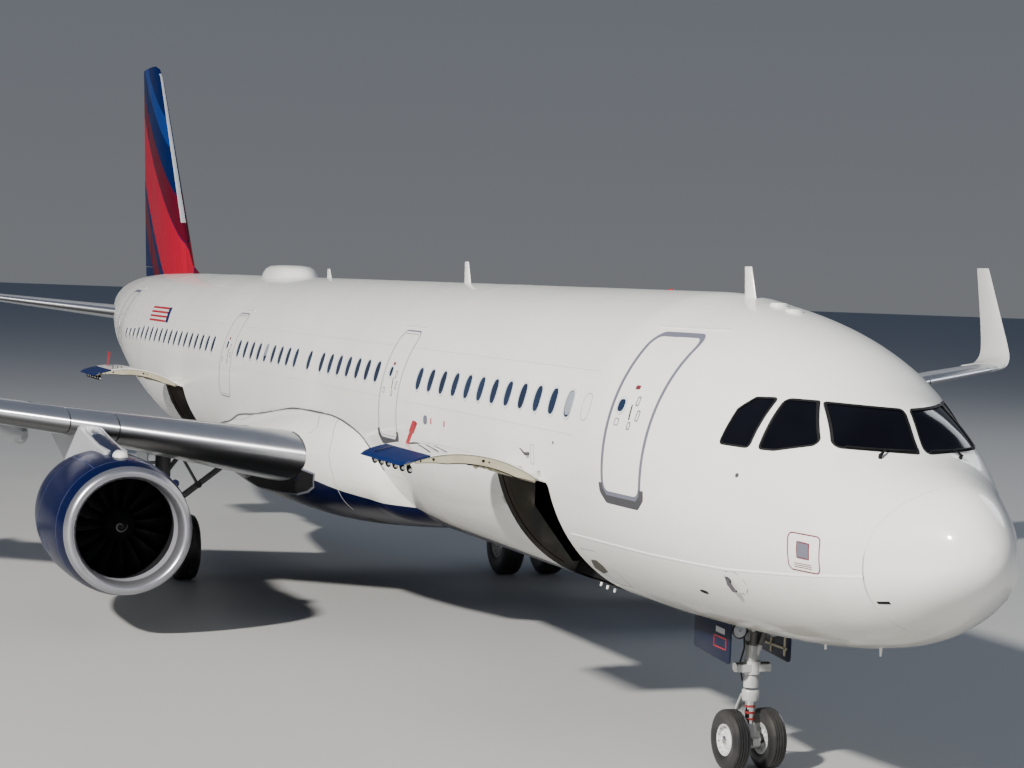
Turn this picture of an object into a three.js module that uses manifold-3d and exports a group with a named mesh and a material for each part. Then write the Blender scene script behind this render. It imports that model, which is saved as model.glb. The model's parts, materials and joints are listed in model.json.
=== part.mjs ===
// A single-aisle twin-jet airliner, parked on its gear with both cargo doors open, as a 1:2 model.
// Every size below is the real aircraft's, in metres, times m: m is one real metre in millimetres of the model.
// Axes: +X forward, +Y to port, +Z up. A station s is the distance aft of the nose tip, so x = -s before the
// whole group is moved forward by half the length. Heights are above the ground.
import * as THREE from "three";
import { mergeVertices } from "three/addons/utils/BufferGeometryUtils.js";
import Module from "manifold-3d";

const wasm = await Module();
wasm.setup();
const { Manifold, Mesh: SolidMesh } = wasm;

const MODEL_SCALE = 1 / 2;
const m = 1000 * MODEL_SCALE;
const REST_GAP = 0.6; // mm, between pieces that don't move against each other
const MOVING_GAP = 0.016 * m; // round every moving piece

// Driving dimensions of the real aircraft
const LENGTH = 44.51 * m;
const AXIS_Z = 3.84 * m;
const HULL_HALF_WIDTH = 1.975 * m;
const HULL_HALF_HEIGHT = 2.07 * m;
const NOSE_GEAR_S = 5.07 * m;
const MAIN_GEAR_S = 21.97 * m;
const MAIN_GEAR_Y = 3.795 * m;
const ENGINE_S = 15.2 * m;
const ENGINE_Y = 5.75 * m;
const ENGINE_Z = 1.76 * m;

// Small helpers: vectors, closed solids and booleans
const v3 = (x, y, z) => new THREE.Vector3(x, y, z);
const at = (s, y, z) => v3(-s, y, z);

// A closed three.js geometry as a solid, turned right way out if its faces point inwards.
function solidOf(geometry) {
  const bare = geometry.index ? geometry.toNonIndexed() : geometry.clone();
  bare.deleteAttribute("normal");
  bare.deleteAttribute("uv");
  const merged = mergeVertices(bare, 1e-3);
  const tri = new Uint32Array(merged.index.array);
  const pos = merged.attributes.position.array;
  let volume = 0;
  const [a, b, c] = [v3(), v3(), v3()];
  for (let i = 0; i < tri.length; i += 3) {
    a.fromArray(pos, 3 * tri[i]);
    b.fromArray(pos, 3 * tri[i + 1]);
    c.fromArray(pos, 3 * tri[i + 2]);
    volume += a.dot(b.cross(c));
  }
  if (volume < 0) for (let i = 0; i < tri.length; i += 3) [tri[i], tri[i + 1]] = [tri[i + 1], tri[i]];
  return new Manifold(new SolidMesh({ numProp: 3, vertProperties: pos, triVerts: tri }));
}

// A solid through rings of equally many points, closed at each end by a fan round a middle point.
function loft(rings, firstTip, lastTip) {
  const points = rings.flat();
  const n = rings[0].length;
  const index = [];
  for (let r = 0; r + 1 < rings.length; r++) {
    for (let i = 0; i < n; i++) {
      const j = (i + 1) % n;
      const [p, q, u, w] = [r * n + i, r * n + j, (r + 1) * n + i, (r + 1) * n + j];
      index.push(p, u, q, q, u, w);
    }
  }
  const middle = (ring) => ring.reduce((sum, p) => sum.add(p), v3(0, 0, 0)).divideScalar(n);
  const last = rings.length - 1;
  points.push(firstTip ?? middle(rings[0]), lastTip ?? middle(rings[last]));
  for (let i = 0; i < n; i++) {
    const j = (i + 1) % n;
    index.push(points.length - 2, i, j, points.length - 1, last * n + j, last * n + i);
  }
  return solidOf(new THREE.BufferGeometry().setFromPoints(points).setIndex(index));
}

const union = (...parts) => parts.flat().reduce((whole, part) => whole.add(part));
const block = (s0, s1, y0, y1, z0, z1) =>
  solidOf(
    new THREE.BoxGeometry(s1 - s0, y1 - y0, z1 - z0).translate(-(s0 + s1) / 2, (y0 + y1) / 2, (z0 + z1) / 2),
  );

// A round bar from p to q, with a radius at each end.
function bar(p, q, r0, r1 = r0, sides = 12) {
  const along = q.clone().sub(p);
  const shape = new THREE.CylinderGeometry(r1, r0, along.length(), sides);
  shape.translate(0, along.length() / 2, 0);
  const turn = new THREE.Quaternion().setFromUnitVectors(v3(0, 1, 0), along.clone().normalize());
  return solidOf(shape.applyQuaternion(turn).translate(p.x, p.y, p.z));
}

// A flat outline of [s, y] points pulled up from z0 to z1.
function planPrism(outline, z0, z1) {
  const shape = new THREE.Shape(outline.map(([s, y]) => new THREE.Vector2(-s, y)));
  return solidOf(new THREE.ExtrudeGeometry(shape, { depth: z1 - z0, bevelEnabled: false }).translate(0, 0, z0));
}

// A side outline of [s, z] points, given width across from y0 to y1.
function sidePrism(outline, y0, y1) {
  const shape = new THREE.Shape(outline.map(([s, z]) => new THREE.Vector2(-s, z)));
  const made = new THREE.ExtrudeGeometry(shape, { depth: y1 - y0, bevelEnabled: false });
  return solidOf(made.rotateX(Math.PI / 2).translate(0, y1, 0));
}

// A ring or body turned about a fore-and-aft axis: profile points are [aft of the front, radius].
function turned(profile, s, y, z, sides) {
  const points = profile.map(([aft, r]) => new THREE.Vector2(r, -aft));
  const shape = new THREE.LatheGeometry(points, sides);
  return solidOf(shape.rotateZ(-Math.PI / 2).translate(-s, y, z));
}

// A ring turned about an axle across the aircraft: profile points are [across, radius]. A flat is at the bottom.
function wheelRing(profile, s, y, z, sides) {
  const points = profile.map(([across, r]) => new THREE.Vector2(r, across));
  const shape = new THREE.LatheGeometry(points, sides, Math.PI / sides);
  return solidOf(shape.translate(-s, y, z));
}

const mirrored = (solid) => solid.mirror([0, 1, 0]);

// The finished aircraft, with each mesh a named piece
const aircraft = new THREE.Group();
const PAINT = {
  white: { color: 0xe9ebe8, roughness: 0.3, metalness: 0.0 },
  blue: { color: 0x14246e, roughness: 0.25, metalness: 0.1 },
  red: { color: 0xb01030, roughness: 0.3, metalness: 0.0 },
  grey: { color: 0xb4b8bb, roughness: 0.4, metalness: 0.1 },
  metal: { color: 0xb9bcc6, roughness: 0.25, metalness: 0.9 },
  dark: { color: 0x2b2c2e, roughness: 0.6, metalness: 0.4 },
  gear: { color: 0xa8acae, roughness: 0.4, metalness: 0.5 },
  rubber: { color: 0x1a1a1b, roughness: 0.85, metalness: 0.0 },
  rim: { color: 0xe4e2da, roughness: 0.4, metalness: 0.2 },
  glass: { color: 0x0c1016, roughness: 0.08, metalness: 0.0 },
};
function place(name, solid, paint) {
  const made = solid.getMesh();
  const step = made.numProp;
  const positions = new Float32Array(made.numVert * 3);
  for (let i = 0; i < made.numVert; i++) {
    positions.set(made.vertProperties.subarray(i * step, i * step + 3), i * 3);
  }
  const geometry = new THREE.BufferGeometry()
    .setAttribute("position", new THREE.BufferAttribute(positions, 3))
    .setIndex(new THREE.BufferAttribute(made.triVerts, 1));
  geometry.computeVertexNormals();
  const mesh = new THREE.Mesh(geometry, new THREE.MeshStandardMaterial(PAINT[paint]));
  mesh.name = name;
  aircraft.add(mesh);
}

// HULL: one smooth tube that the fuselage sections, doors and cockpit glass are all cut from
// columns: station, top height, bottom height, half width, height of the widest point
const HULL = [
  [0.0, 3.288, 3.288, 0.0, 3.288],
  [0.05, 3.48, 3.09, 0.2, 3.27],
  [0.2, 3.7, 2.9, 0.398, 3.2],
  [0.5, 3.93, 2.66, 0.64, 3.1],
  [1.0, 4.1, 2.35, 0.975, 3.12],
  [1.45, 4.268, 2.17, 1.21, 3.19],
  [1.8, 4.688, 2.085, 1.31, 3.24],
  [2.3, 4.975, 1.995, 1.47, 3.31],
  [3.0, 5.345, 1.915, 1.675, 3.4],
  [4.0, 5.63, 1.85, 1.835, 3.54],
  [5.0, 5.795, 1.805, 1.925, 3.68],
  [6.2, 5.91, 1.77, 1.975, 3.84],
  [30.5, 5.91, 1.77, 1.975, 3.84],
  [33.0, 5.91, 1.93, 1.955, 3.91],
  [35.5, 5.905, 2.36, 1.88, 4.12],
  [38.0, 5.89, 2.98, 1.68, 4.42],
  [40.5, 5.82, 3.66, 1.3, 4.73],
  [42.5, 5.66, 4.2, 0.88, 4.93],
  [44.0, 5.42, 4.6, 0.47, 5.01],
  [44.51, 5.26, 4.76, 0.25, 5.01],
];
const HULL_SIDES = 32;
const NOSE_STATIONS = [0.05, 0.2, 0.5, 0.96, 1.45, 1.8, 2.3, 3.0, 4.0, 5.0, 6.2];
const TAIL_STATIONS = [30.5, 33.0, 35.5, 38.0, 40.5, 42.5, 44.0, 44.51];

// Smooth monotone value of one column of the hull at station s, along the square root of s so that the nose is round.
function hullColumn(s, column) {
  const x = HULL.map((row) => Math.sqrt(row[0]));
  const y = HULL.map((row) => row[column]);
  const t = Math.sqrt(s);
  let k = 0;
  while (k < x.length - 2 && t > x[k + 1]) k++;
  const slope = (i) => (y[i + 1] - y[i]) / (x[i + 1] - x[i]);
  const tangent = (i) => {
    if (i === 0) return slope(0);
    if (i === x.length - 1) return slope(i - 1);
    const [a, b] = [slope(i - 1), slope(i)];
    if (a * b <= 0) return 0;
    const [w1, w2] = [2 * (x[i + 1] - x[i]) + x[i] - x[i - 1], x[i + 1] - x[i] + 2 * (x[i] - x[i - 1])];
    return (w1 + w2) / (w1 / a + w2 / b);
  };
  const h = x[k + 1] - x[k];
  const u = (t - x[k]) / h;
  return (
    y[k] * (1 + 2 * u) * (1 - u) ** 2 +
    h * tangent(k) * u * (1 - u) ** 2 +
    y[k + 1] * u * u * (3 - 2 * u) +
    h * tangent(k + 1) * u * u * (u - 1)
  );
}

// The hull's section at a real station, taken in by inset all round.
function hullRing(s, inset) {
  const [top, bottom, half, widest] = [1, 2, 3, 4].map((column) => hullColumn(s, column) * m);
  return Array.from({ length: HULL_SIDES }, (_, i) => {
    const a = (2 * Math.PI * (i + 0.5)) / HULL_SIDES;
    const rise = Math.sin(a) > 0 ? top - inset - widest : widest - bottom - inset;
    return at(s * m, (half - inset) * Math.cos(a), widest + rise * Math.sin(a));
  });
}
const hullStations = [...NOSE_STATIONS, ...TAIL_STATIONS];
const hull = loft(hullStations.map((s) => hullRing(s, 0)), at(0, 0, HULL[0][1] * m));
const hullInside = (inset) => loft(hullStations.filter((s) => s > 0.9).map((s) => hullRing(s, inset)));
const DOOR_THICKNESS = 0.1 * m;
const hullAtDoorBack = hullInside(DOOR_THICKNESS);
const hullAtDoorSeat = hullInside(DOOR_THICKNESS + 0.012 * m);
const hullAtCargoSeat = hullInside(DOOR_THICKNESS + MOVING_GAP);
const hullOver = loft(hullStations.map((s) => hullRing(s, -REST_GAP)), at(-REST_GAP, 0, HULL[0][1] * m));

// A rounded rectangle seen from the side, as a block from the middle plane out past the skin.
function sideBlock(s0, s1, z0, z1, round, grow, side) {
  const shape = new THREE.Shape();
  const [l, r, b, t, c] = [s0 - grow, s1 + grow, z0 - grow, z1 + grow, round];
  shape.moveTo(l + c, b).lineTo(r - c, b).absarc(r - c, b + c, c, -Math.PI / 2, 0);
  shape.lineTo(r, t - c).absarc(r - c, t - c, c, 0, Math.PI / 2);
  shape.lineTo(l + c, t).absarc(l + c, t - c, c, Math.PI / 2, Math.PI);
  shape.lineTo(l, b + c).absarc(l + c, b + c, c, Math.PI, 1.5 * Math.PI);
  const made = new THREE.ExtrudeGeometry(shape, { depth: 3 * m, bevelEnabled: false, curveSegments: 2 });
  made.applyMatrix4(new THREE.Matrix4().makeBasis(v3(-1, 0, 0), v3(0, 0, 1), v3(0, side, 0)));
  return solidOf(made);
}

// Cabin doors: columns are pair number, station of the middle, width, sill height, top height
const CABIN_DOORS = [
  [1, 5.02, 0.9, 3.44, 5.34],
  [2, 13.88, 0.8, 3.44, 5.06],
  [3, 24.74, 0.8, 3.44, 5.06],
  [4, 37.2, 0.88, 3.5, 5.36],
];
const DOOR_CORNER = 0.12 * m;
const DOOR_SEAM = 0.006 * m;
const doorWells = [];
const doorBlocks = (row, grow, side) =>
  sideBlock((row[1] - row[2] / 2) * m, (row[1] + row[2] / 2) * m, row[3] * m, row[4] * m, DOOR_CORNER, grow, side);
for (const row of CABIN_DOORS) {
  for (const [word, side] of [["left", 1], ["right", -1]]) {
    const door = hull.intersect(doorBlocks(row, 0, side)).subtract(hullAtDoorBack);
    place(`cabin_door_${row[0]}_${word}`, door, "white");
    doorWells.push(doorBlocks(row, DOOR_SEAM, side).subtract(hullAtDoorSeat));
  }
}

// Cargo doors, on the starboard side: columns are name, first station, last station
const CARGO_DOORS = [
  ["front", 7.29, 9.11],
  ["rear", 28.8, 30.62],
];
const CARGO_SILL_Z = 1.9 * m;
const CARGO_TOP_Z = 3.33 * m;
const CARGO_HINGE = { y: -1.953 * m, z: 3.375 * m };
const CARGO_OPEN_DEG = 137;
const CARGO_CORNER = 0.08 * m;
const cargoWells = [];
// Hinge lugs: a short arm from the door's top edge to the axis, and the pocket it turns in
const HINGE_LUGS = [0.14, 0.5, 0.86];
const HINGE_LUG = { half: 0.05 * m, radius: 0.032 * m, pocket: 0.105 * m };
const hingeLug = (s, half, radius) =>
  [-half, half].map((off) => [
    [CARGO_HINGE.y - 0.7 * radius, CARGO_HINGE.z + 0.7 * radius],
    [CARGO_HINGE.y - radius, CARGO_HINGE.z - radius],
    [-1.9 * m, 3.2 * m], [-1.85 * m, 3.2 * m], [-1.866 * m, 3.32 * m],
    [CARGO_HINGE.y + radius, CARGO_HINGE.z],
  ].map(([y, z]) => at(s + off, y, z)));
for (const [word, s0, s1] of CARGO_DOORS) {
  const outline = (grow) =>
    sideBlock(s0 * m, s1 * m, CARGO_SILL_Z, CARGO_TOP_Z, CARGO_CORNER, grow, -1).intersect(
      block(s0 * m - grow, s1 * m + grow, -3 * m, -0.45 * m + grow, CARGO_SILL_Z - grow, CARGO_TOP_Z + grow),
    );
  const shut = hull.intersect(outline(0)).subtract(hullAtDoorBack);
  const lugs = HINGE_LUGS.map((share) => loft(hingeLug((s0 + share * (s1 - s0)) * m, HINGE_LUG.half, HINGE_LUG.radius)));
  const open = union(shut, lugs)
    .translate([0, -CARGO_HINGE.y, -CARGO_HINGE.z])
    .rotate([-CARGO_OPEN_DEG, 0, 0])
    .translate([0, CARGO_HINGE.y, CARGO_HINGE.z]);
  place(`cargo_door_${word}`, open, "white");
  const pockets = HINGE_LUGS.map((share) => {
    const s = (s0 + share * (s1 - s0)) * m;
    const reach = HINGE_LUG.half + MOVING_GAP;
    return bar(at(s - reach, CARGO_HINGE.y, CARGO_HINGE.z), at(s + reach, CARGO_HINGE.y, CARGO_HINGE.z), HINGE_LUG.pocket);
  });
  cargoWells.push(union(outline(MOVING_GAP).subtract(hullAtCargoSeat), pockets));
}

// Cargo holds behind them: a hollow with sloping sides, from a floor to a ceiling
// columns: first station, last station
const HOLDS = [
  [6.9, 12.6],
  [26.9, 33.4],
];
const HOLD_FLOOR_Z = 2.06 * m;
const HOLD_CEILING_Z = 3.3 * m;
const HOLD_FLOOR_HALF = 0.72 * m;
const HOLD_WIDE_HALF = 1.33 * m;
const HOLD_WIDE_Z = 2.85 * m;
function holdSpace([s0, s1]) {
  const section = [
    [HOLD_FLOOR_HALF, HOLD_FLOOR_Z],
    [HOLD_WIDE_HALF, HOLD_WIDE_Z],
    [HOLD_WIDE_HALF, HOLD_CEILING_Z],
    [-HOLD_WIDE_HALF, HOLD_CEILING_Z],
    [-HOLD_WIDE_HALF, HOLD_WIDE_Z],
    [-HOLD_FLOOR_HALF, HOLD_FLOOR_Z],
  ];
  return loft([s0, s1].map((s) => section.map(([y, z]) => at(s * m, y, z))));
}
// The way in through the wall, as wide as the door and nearly as high as the hold.
const WAY_IN_TOP_Z = 3.27 * m;
const wayIn = ([, s0, s1]) =>
  block(s0 * m, s1 * m, -2.2 * m, -0.6 * m, HOLD_FLOOR_Z, WAY_IN_TOP_Z).intersect(hullOver);

// Cockpit glass: six panes held by one frame. Corners of the starboard side, clockwise: [station, y, height].
const PANES = [
  { look: "front", corners: [[1.46, 0.05, 4.265], [1.81, 0.05, 4.69], [2.29, 0.74, 4.73], [1.84, 0.89, 4.3]] },
  { look: "side", corners: [[1.95, 0, 4.31], [2.35, 0, 4.735], [2.64, 0, 4.74], [2.58, 0, 4.21], [2.4, 0, 4.21]] },
  { look: "side", corners: [[2.73, 0, 4.21], [2.75, 0, 4.74], [2.99, 0, 4.73], [3.12, 0, 4.6], [3.15, 0, 4.22]] },
];
// A pane's outline, grown about its middle and pulled through the skin fore and aft or sideways.
function paneBlock({ look, corners }, grow, side) {
  const middle = corners.reduce((sum, c) => sum.map((v, i) => v + c[i] / corners.length), [0, 0, 0]);
  const grown = corners.map((c) => {
    const away = c.map((v, i) => v - middle[i]);
    const length = Math.hypot(...away);
    return c.map((v, i) => (v + (away[i] / length) * grow) * m);
  });
  const near = grown.map(([s, y, z]) => (look === "front" ? at(0.6 * m, side * y, z) : at(s, side * 2 * m, z)));
  const far = grown.map(([s, y, z]) =>
    (look === "front" ? at((2.6 + grow) * m, side * y, z) : at(s, side * (0.3 - grow) * m, z)));
  return loft([near, far]);
}
// The panes reach inwards to a middle block that holds all six together.
const glassSet = (grow) =>
  union(
    PANES.flatMap((pane) => [1, -1].map((side) => paneBlock(pane, grow, side))),
    block((2.2 - grow) * m, (3.0 + grow) * m, -0.5 * m, 0.5 * m, (4.36 - grow) * m, (4.64 + grow) * m),
  );
place("cockpit_windows", glassSet(0).intersect(hull), "glass");
const glassWell = glassSet(0.008).intersect(hullOver);

// WING: sections from inside the fuselage to the tip
// columns: y, leading edge station, chord, height there, thickness share, fall from front to back
const WING = [
  [1.0, 16.45, 6.8, 2.66, 0.15, 0.714],
  [2.3, 17.12, 6.13, 2.8, 0.15, 0.644],
  [6.4, 19.24, 4.06, 3.25, 0.12, 0.276],
  [16.9, 24.65, 1.62, 4.36, 0.108, 0.032],
];
// Shares of the chord where a section has its points, from the trailing edge forward
const SECTION_POINTS = [1, 0.86, 0.7, 0.52, 0.36, 0.22, 0.12, 0.05, 0.015];
// Half thickness of a symmetric aerofoil at a share of its chord, blunt by a hair at the back.
const halfThickness = (x, share) =>
  5 * share * (0.2969 * Math.sqrt(x) - 0.126 * x - 0.3516 * x * x + 0.2843 * x ** 3 - 0.1036 * x ** 4) + 0.0015;
function sectionShape(share, camber) {
  const bend = (x) => camber * 4 * x * (1 - x);
  const upper = SECTION_POINTS.map((x) => [x, bend(x) + halfThickness(x, share)]);
  const lower = SECTION_POINTS.map((x) => [x, bend(x) - halfThickness(x, share)]).reverse();
  return [...upper, [0, 0], ...lower];
}
const flatSection = ([y, s, chord, z, share, fall = 0], camber = 0.012) =>
  sectionShape(share, camber).map(([x, up]) => at((s + x * chord) * m, y * m, (z + up * chord - fall * x) * m));
const wholeWing = loft(WING.map((row) => flatSection(row)));
// Real values at a span position, in metres
function wingAt(y) {
  const k = WING.findIndex((row, i) => i === WING.length - 2 || y < WING[i + 1][0]);
  const u = (y - WING[k][0]) / (WING[k + 1][0] - WING[k][0]);
  const [, lead, chord, z, share, fall] = WING[k].map((v, i) => v + u * (WING[k + 1][i] - v));
  return { lead, chord, z, share, s: (part) => lead + part * chord, low: (part) => z - fall * part };
}
const WING_ROOT_Y = 2.2;
const KINK_Y = 6.4;
const TIP_Y = 16.9;
const SLAT_SHARE = 0.15;
const SLAT_END_Y = 16.6;
const FLAP_END_Y = 13.1;
const AILERON_END_Y = 16.3;
const AILERON_SHARE = 0.75;
const FLAP_SHARE = 0.74;
const FLAP_ROOT_S = 22.4;
const REST = REST_GAP / m;
// Outlines in plan, real metres: the slat strip, and the flap strip behind a line straight across inboard
const slatStrip = (inset) => [
  [wingAt(WING_ROOT_Y).lead - 1, WING_ROOT_Y + inset],
  [wingAt(SLAT_END_Y).lead - 1, SLAT_END_Y - inset],
  [wingAt(SLAT_END_Y).s(SLAT_SHARE) - inset, SLAT_END_Y - inset],
  [wingAt(KINK_Y).s(SLAT_SHARE) - inset, KINK_Y],
  [wingAt(WING_ROOT_Y).s(SLAT_SHARE) - inset, WING_ROOT_Y + inset],
];
const flapStrip = (inset) => [
  [FLAP_ROOT_S + inset, WING_ROOT_Y + inset],
  [wingAt(KINK_Y).s(FLAP_SHARE) + inset, KINK_Y],
  [wingAt(FLAP_END_Y).s(FLAP_SHARE) + inset, FLAP_END_Y - inset],
  [28, FLAP_END_Y - inset],
  [28, WING_ROOT_Y + inset],
];
const scaled = (outline) => outline.map(([s, y]) => [s * m, y * m]);
const prismOver = (outline) => planPrism(scaled(outline), 1.5 * m, 6 * m);

// A control surface is the part of a panel behind its hinge line, with a round nose on that line.
// ends: the hinge line's two ends as { s, y, z, radius } in real metres, behind: the block aft of that line,
// span: the block between its ends. Both blocks and the nose grow for the well that the surface turns in.
// A swept hinge swings the surface's ends along it, so they stand short of the span by endRoom metres each.
function controlShape(ends, behind, span, grow, endRoom = 0) {
  const [p, q] = ends.map(({ s, y, z }) => at(s * m, y * m, z * m));
  const extra = 0.35; // metres past each end, so that the nose runs right out to the end faces
  const part = (extra * m) / p.distanceTo(q);
  const [r0, r1] = ends.map(({ radius }) => radius * m);
  const nose = bar(p.clone().lerp(q, -part), q.clone().lerp(p, -part),
    r0 + (r0 - r1) * part + grow, r1 + (r1 - r0) * part + grow, 16);
  return union(behind, nose).intersect(span(grow - endRoom * m));
}
const across = (y0, y1) => (grow) => block(10 * m, 50 * m, y0 * m - grow, y1 * m + grow, 0, 12 * m);
// The block aft of a hinge line seen in plan, the line being run on past both ends
function aftOf([a, b]) {
  const slope = (b.s - a.s) / (b.y - a.y);
  const [y0, y1] = [a.y - 1, b.y + 1];
  return planPrism(scaled([[a.s - slope, y0], [b.s + slope, y1], [b.s + 6, y1], [a.s + 6, y0]]), 1 * m, 7 * m);
}

// Ailerons: the hinge runs along AILERON_SHARE of the chord at mid thickness.
const aileronEnds = [FLAP_END_Y + 0.04, AILERON_END_Y].map((y) => {
  const w = wingAt(y);
  const up = 0.012 * 4 * AILERON_SHARE * (1 - AILERON_SHARE);
  return {
    s: w.s(AILERON_SHARE), y, z: w.low(AILERON_SHARE) + up * w.chord,
    radius: 0.97 * halfThickness(AILERON_SHARE, w.share) * w.chord,
  };
});
const aileronSpan = across(aileronEnds[0].y, aileronEnds[1].y);
const aileron = wholeWing.intersect(controlShape(aileronEnds, aftOf(aileronEnds), aileronSpan, 0, 0.019));
const aileronWell = controlShape(aileronEnds, aftOf(aileronEnds), aileronSpan, 1.2 * MOVING_GAP);

// Flap track fairings, hung under the back of the wing: columns are y, first station, last station
const FLAP_FAIRINGS = [
  [6.55, 21.1, 24.3],
  [9.55, 22.1, 25.1],
  [12.35, 23.2, 25.8],
];
const FAIRING_RADIUS = 0.19;
function flapFairing([y, s0, s1], grow) {
  const w = wingAt(y);
  const z = w.low(((s0 + s1) / 2 - w.lead) / w.chord) - 0.24;
  const length = s1 - s0;
  const rings = [0.03, 0.2, 0.55, 0.8, 0.97].map((u) => {
    const r = (FAIRING_RADIUS * Math.sin(Math.PI * u ** 0.85) ** 0.6 + grow) * m;
    return Array.from({ length: 8 }, (_, i) => {
      const a = (2 * Math.PI * (i + 0.5)) / 8;
      return at((s0 + u * length) * m, y * m + r * Math.cos(a), z * m + 1.35 * r * Math.sin(a));
    });
  });
  return loft(rings);
}

// Main gear slot in the wing, for the leg and its side stay, and the jacking pad outboard of the engine
// columns: inner y, outer y, top
const GEAR_SLOT = [[2.3, 3.62, 2.42], [3.6, 4.1, 2.64]];
const gearSlot = union(GEAR_SLOT.map(([y0, y1, top]) => block(21.62 * m, 22.28 * m, y0 * m, y1 * m, 2 * m, top * m)));
const WING_PAD = { s: 21.0, y: 8.4, z: 3.2, radius: 0.09 };
const wingPad = bar(
  at(WING_PAD.s * m, WING_PAD.y * m, WING_PAD.z * m),
  at(WING_PAD.s * m, WING_PAD.y * m, (WING_PAD.z + 0.3) * m),
  WING_PAD.radius * m,
);

// Engine pylon: a side outline, cut clear of the wing and slat
const PYLON_HALF = 0.2;
const PYLON = [
  [16.5, 2.2], [16.5, 2.94], [17.3, 2.98], [18.1, 3.06], [18.85, 3.15], [19.4, 3.17], [21.6, 3.05],
  [22.0, 2.87], [20.6, 2.5], [19.7, 2.3], [19.2, 2.2],
];
const pylonBlock = (grow) => sidePrism(
  scaled(PYLON).map(([s, z]) => [s + grow * Math.sign(s - 19 * m), z + grow * Math.sign(z - 2.9 * m)]),
  ENGINE_Y - PYLON_HALF * m - grow,
  ENGINE_Y + PYLON_HALF * m + grow,
);
const wingOver = loft(
  WING.map(([y, s, chord, z, share, fall]) =>
    flatSection([y, s - 2 * REST, chord + 4 * REST, z, share + 0.002, fall])),
);
const pylon = pylonBlock(0).subtract(wingOver);

const flapPiece = wholeWing
  .intersect(prismOver(flapStrip(REST)))
  .subtract(union(FLAP_FAIRINGS.map((row) => flapFairing(row, 2 * REST))));
const slatPiece = wholeWing.intersect(prismOver(slatStrip(REST)));
const wingBox = union(
  wholeWing
    .subtract(prismOver(slatStrip(0)))
    .subtract(prismOver(flapStrip(0)))
    .subtract(aileronWell)
    .subtract(gearSlot),
  FLAP_FAIRINGS.map((row) => flapFairing(row, 0)),
  wingPad,
)
  .subtract(hullOver)
  .subtract(block(10 * m, 30 * m, -3 * m, WING_ROOT_Y * m - 0.15 * m, 0, 6 * m));

// Sharklet: sections that turn up from the tip. columns: y, height above the tip, leading edge, chord, lean in degrees
const SHARKLET = [
  [0.0, 0.0, 24.65, 1.62, 0],
  [0.38, 0.06, 24.9, 1.42, 22],
  [0.66, 0.3, 25.2, 1.24, 55],
  [0.8, 0.75, 25.6, 1.05, 76],
  [1.0, 2.42, 26.75, 0.5, 82],
];
const sharklet = loft(
  SHARKLET.map(([out, up, lead, chord, lean]) => {
    const [c, s] = [Math.cos((lean * Math.PI) / 180), Math.sin((lean * Math.PI) / 180)];
    return sectionShape(0.1, 0.01).map(([x, t]) =>
      at((lead + x * chord) * m, (TIP_Y + out - t * chord * s) * m + 2 * REST_GAP, (4.36 + up + t * chord * c) * m),
    );
  }),
);

// BELLY FAIRING: swells round the wing roots. columns: station, top, bottom, half width
const FAIRING = [
  [14.4, 2.6, 1.95, 1.1],
  [14.8, 3.3, 1.84, 1.78],
  [15.1, 3.7, 1.8, 1.95],
  [15.6, 3.86, 1.74, 2.1],
  [16.6, 3.92, 1.64, 2.28],
  [18.0, 3.9, 1.54, 2.4],
  [19.5, 3.8, 1.5, 2.42],
  [21.7, 3.54, 1.5, 2.4],
  [23.2, 3.33, 1.58, 2.3],
  [24.5, 3.16, 1.68, 2.15],
  [26.3, 2.75, 1.76, 1.75],
  [27.6, 2.2, 1.84, 1.0],
];
const FAIRING_SQUARENESS = 0.78; // 1 is an ellipse, less is squarer
const fairingRing = ([s, top, bottom, half]) =>
  Array.from({ length: 28 }, (_, i) => {
    const a = (2 * Math.PI * (i + 0.5)) / 28;
    const bulge = (v) => Math.sign(v) * Math.abs(v) ** FAIRING_SQUARENESS;
    const [middle, rise] = [(top + bottom) / 2, (top - bottom) / 2];
    return at(s * m, half * m * bulge(Math.cos(a)), (middle + rise * bulge(Math.sin(a))) * m);
  });
const rootBlock = (y) => block(10 * m, 30 * m, -y * m, y * m, 0, 8 * m);
const bothWings = union(wingOver, mirrored(wingOver));
const fairing = loft(FAIRING.map(fairingRing))
  .subtract(hullOver)
  .subtract(bothWings)
  .subtract(union(gearSlot, mirrored(gearSlot)));
place("belly_fairing", fairing, "white");

for (const [word, turn] of [["left", (x) => x], ["right", mirrored]]) {
  place(`wing_${word}`, turn(wingBox), "grey");
  place(`leading_edge_${word}`, turn(slatPiece), "metal");
  place(`flap_${word}`, turn(flapPiece), "grey");
  place(`aileron_${word}`, turn(aileron), "grey");
  place(`sharklet_${word}`, turn(sharklet), "white");
  place(`pylon_${word}`, turn(pylon), "grey");
}

// ENGINE: profiles are [aft of the inlet lip, radius]
const ENGINE_SIDES = 24;
const LIP_BACK = { outer: [0.16, 1.03], inner: [0.26, 0.835] };
const LIP = [[0.0, 0.93], [0.045, 0.99], LIP_BACK.outer, LIP_BACK.inner, [0.12, 0.86], [0.02, 0.9]];
const COWL = [
  LIP_BACK.outer, [0.5, 1.105], [1.0, 1.15], [1.65, 1.165], [2.35, 1.15], [3.0, 1.06], [3.55, 0.94],
  [3.55, 0.91], [2.15, 0.98], [1.4, 0.885], [0.5, 0.83], LIP_BACK.inner,
];
const CORE = [
  [1.67, 0.01], [1.67, 0.44], [2.35, 0.58], [3.15, 0.61], [4.55, 0.4], [4.55, 0.33], [5.3, 0.01],
];
const FAN_RADIUS = 0.842;
const FAN_S = 1.11;
const FAN_BLADES = 16;
const closedProfile = (rows) => [...rows, rows[0]].map(([a, r]) => [a * m, r * m]);
const axisProfile = (rows) => [[rows[0][0], 0], ...rows, [rows.at(-1)[0], 0]].map(([a, r]) => [a * m, r * m]);
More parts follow.
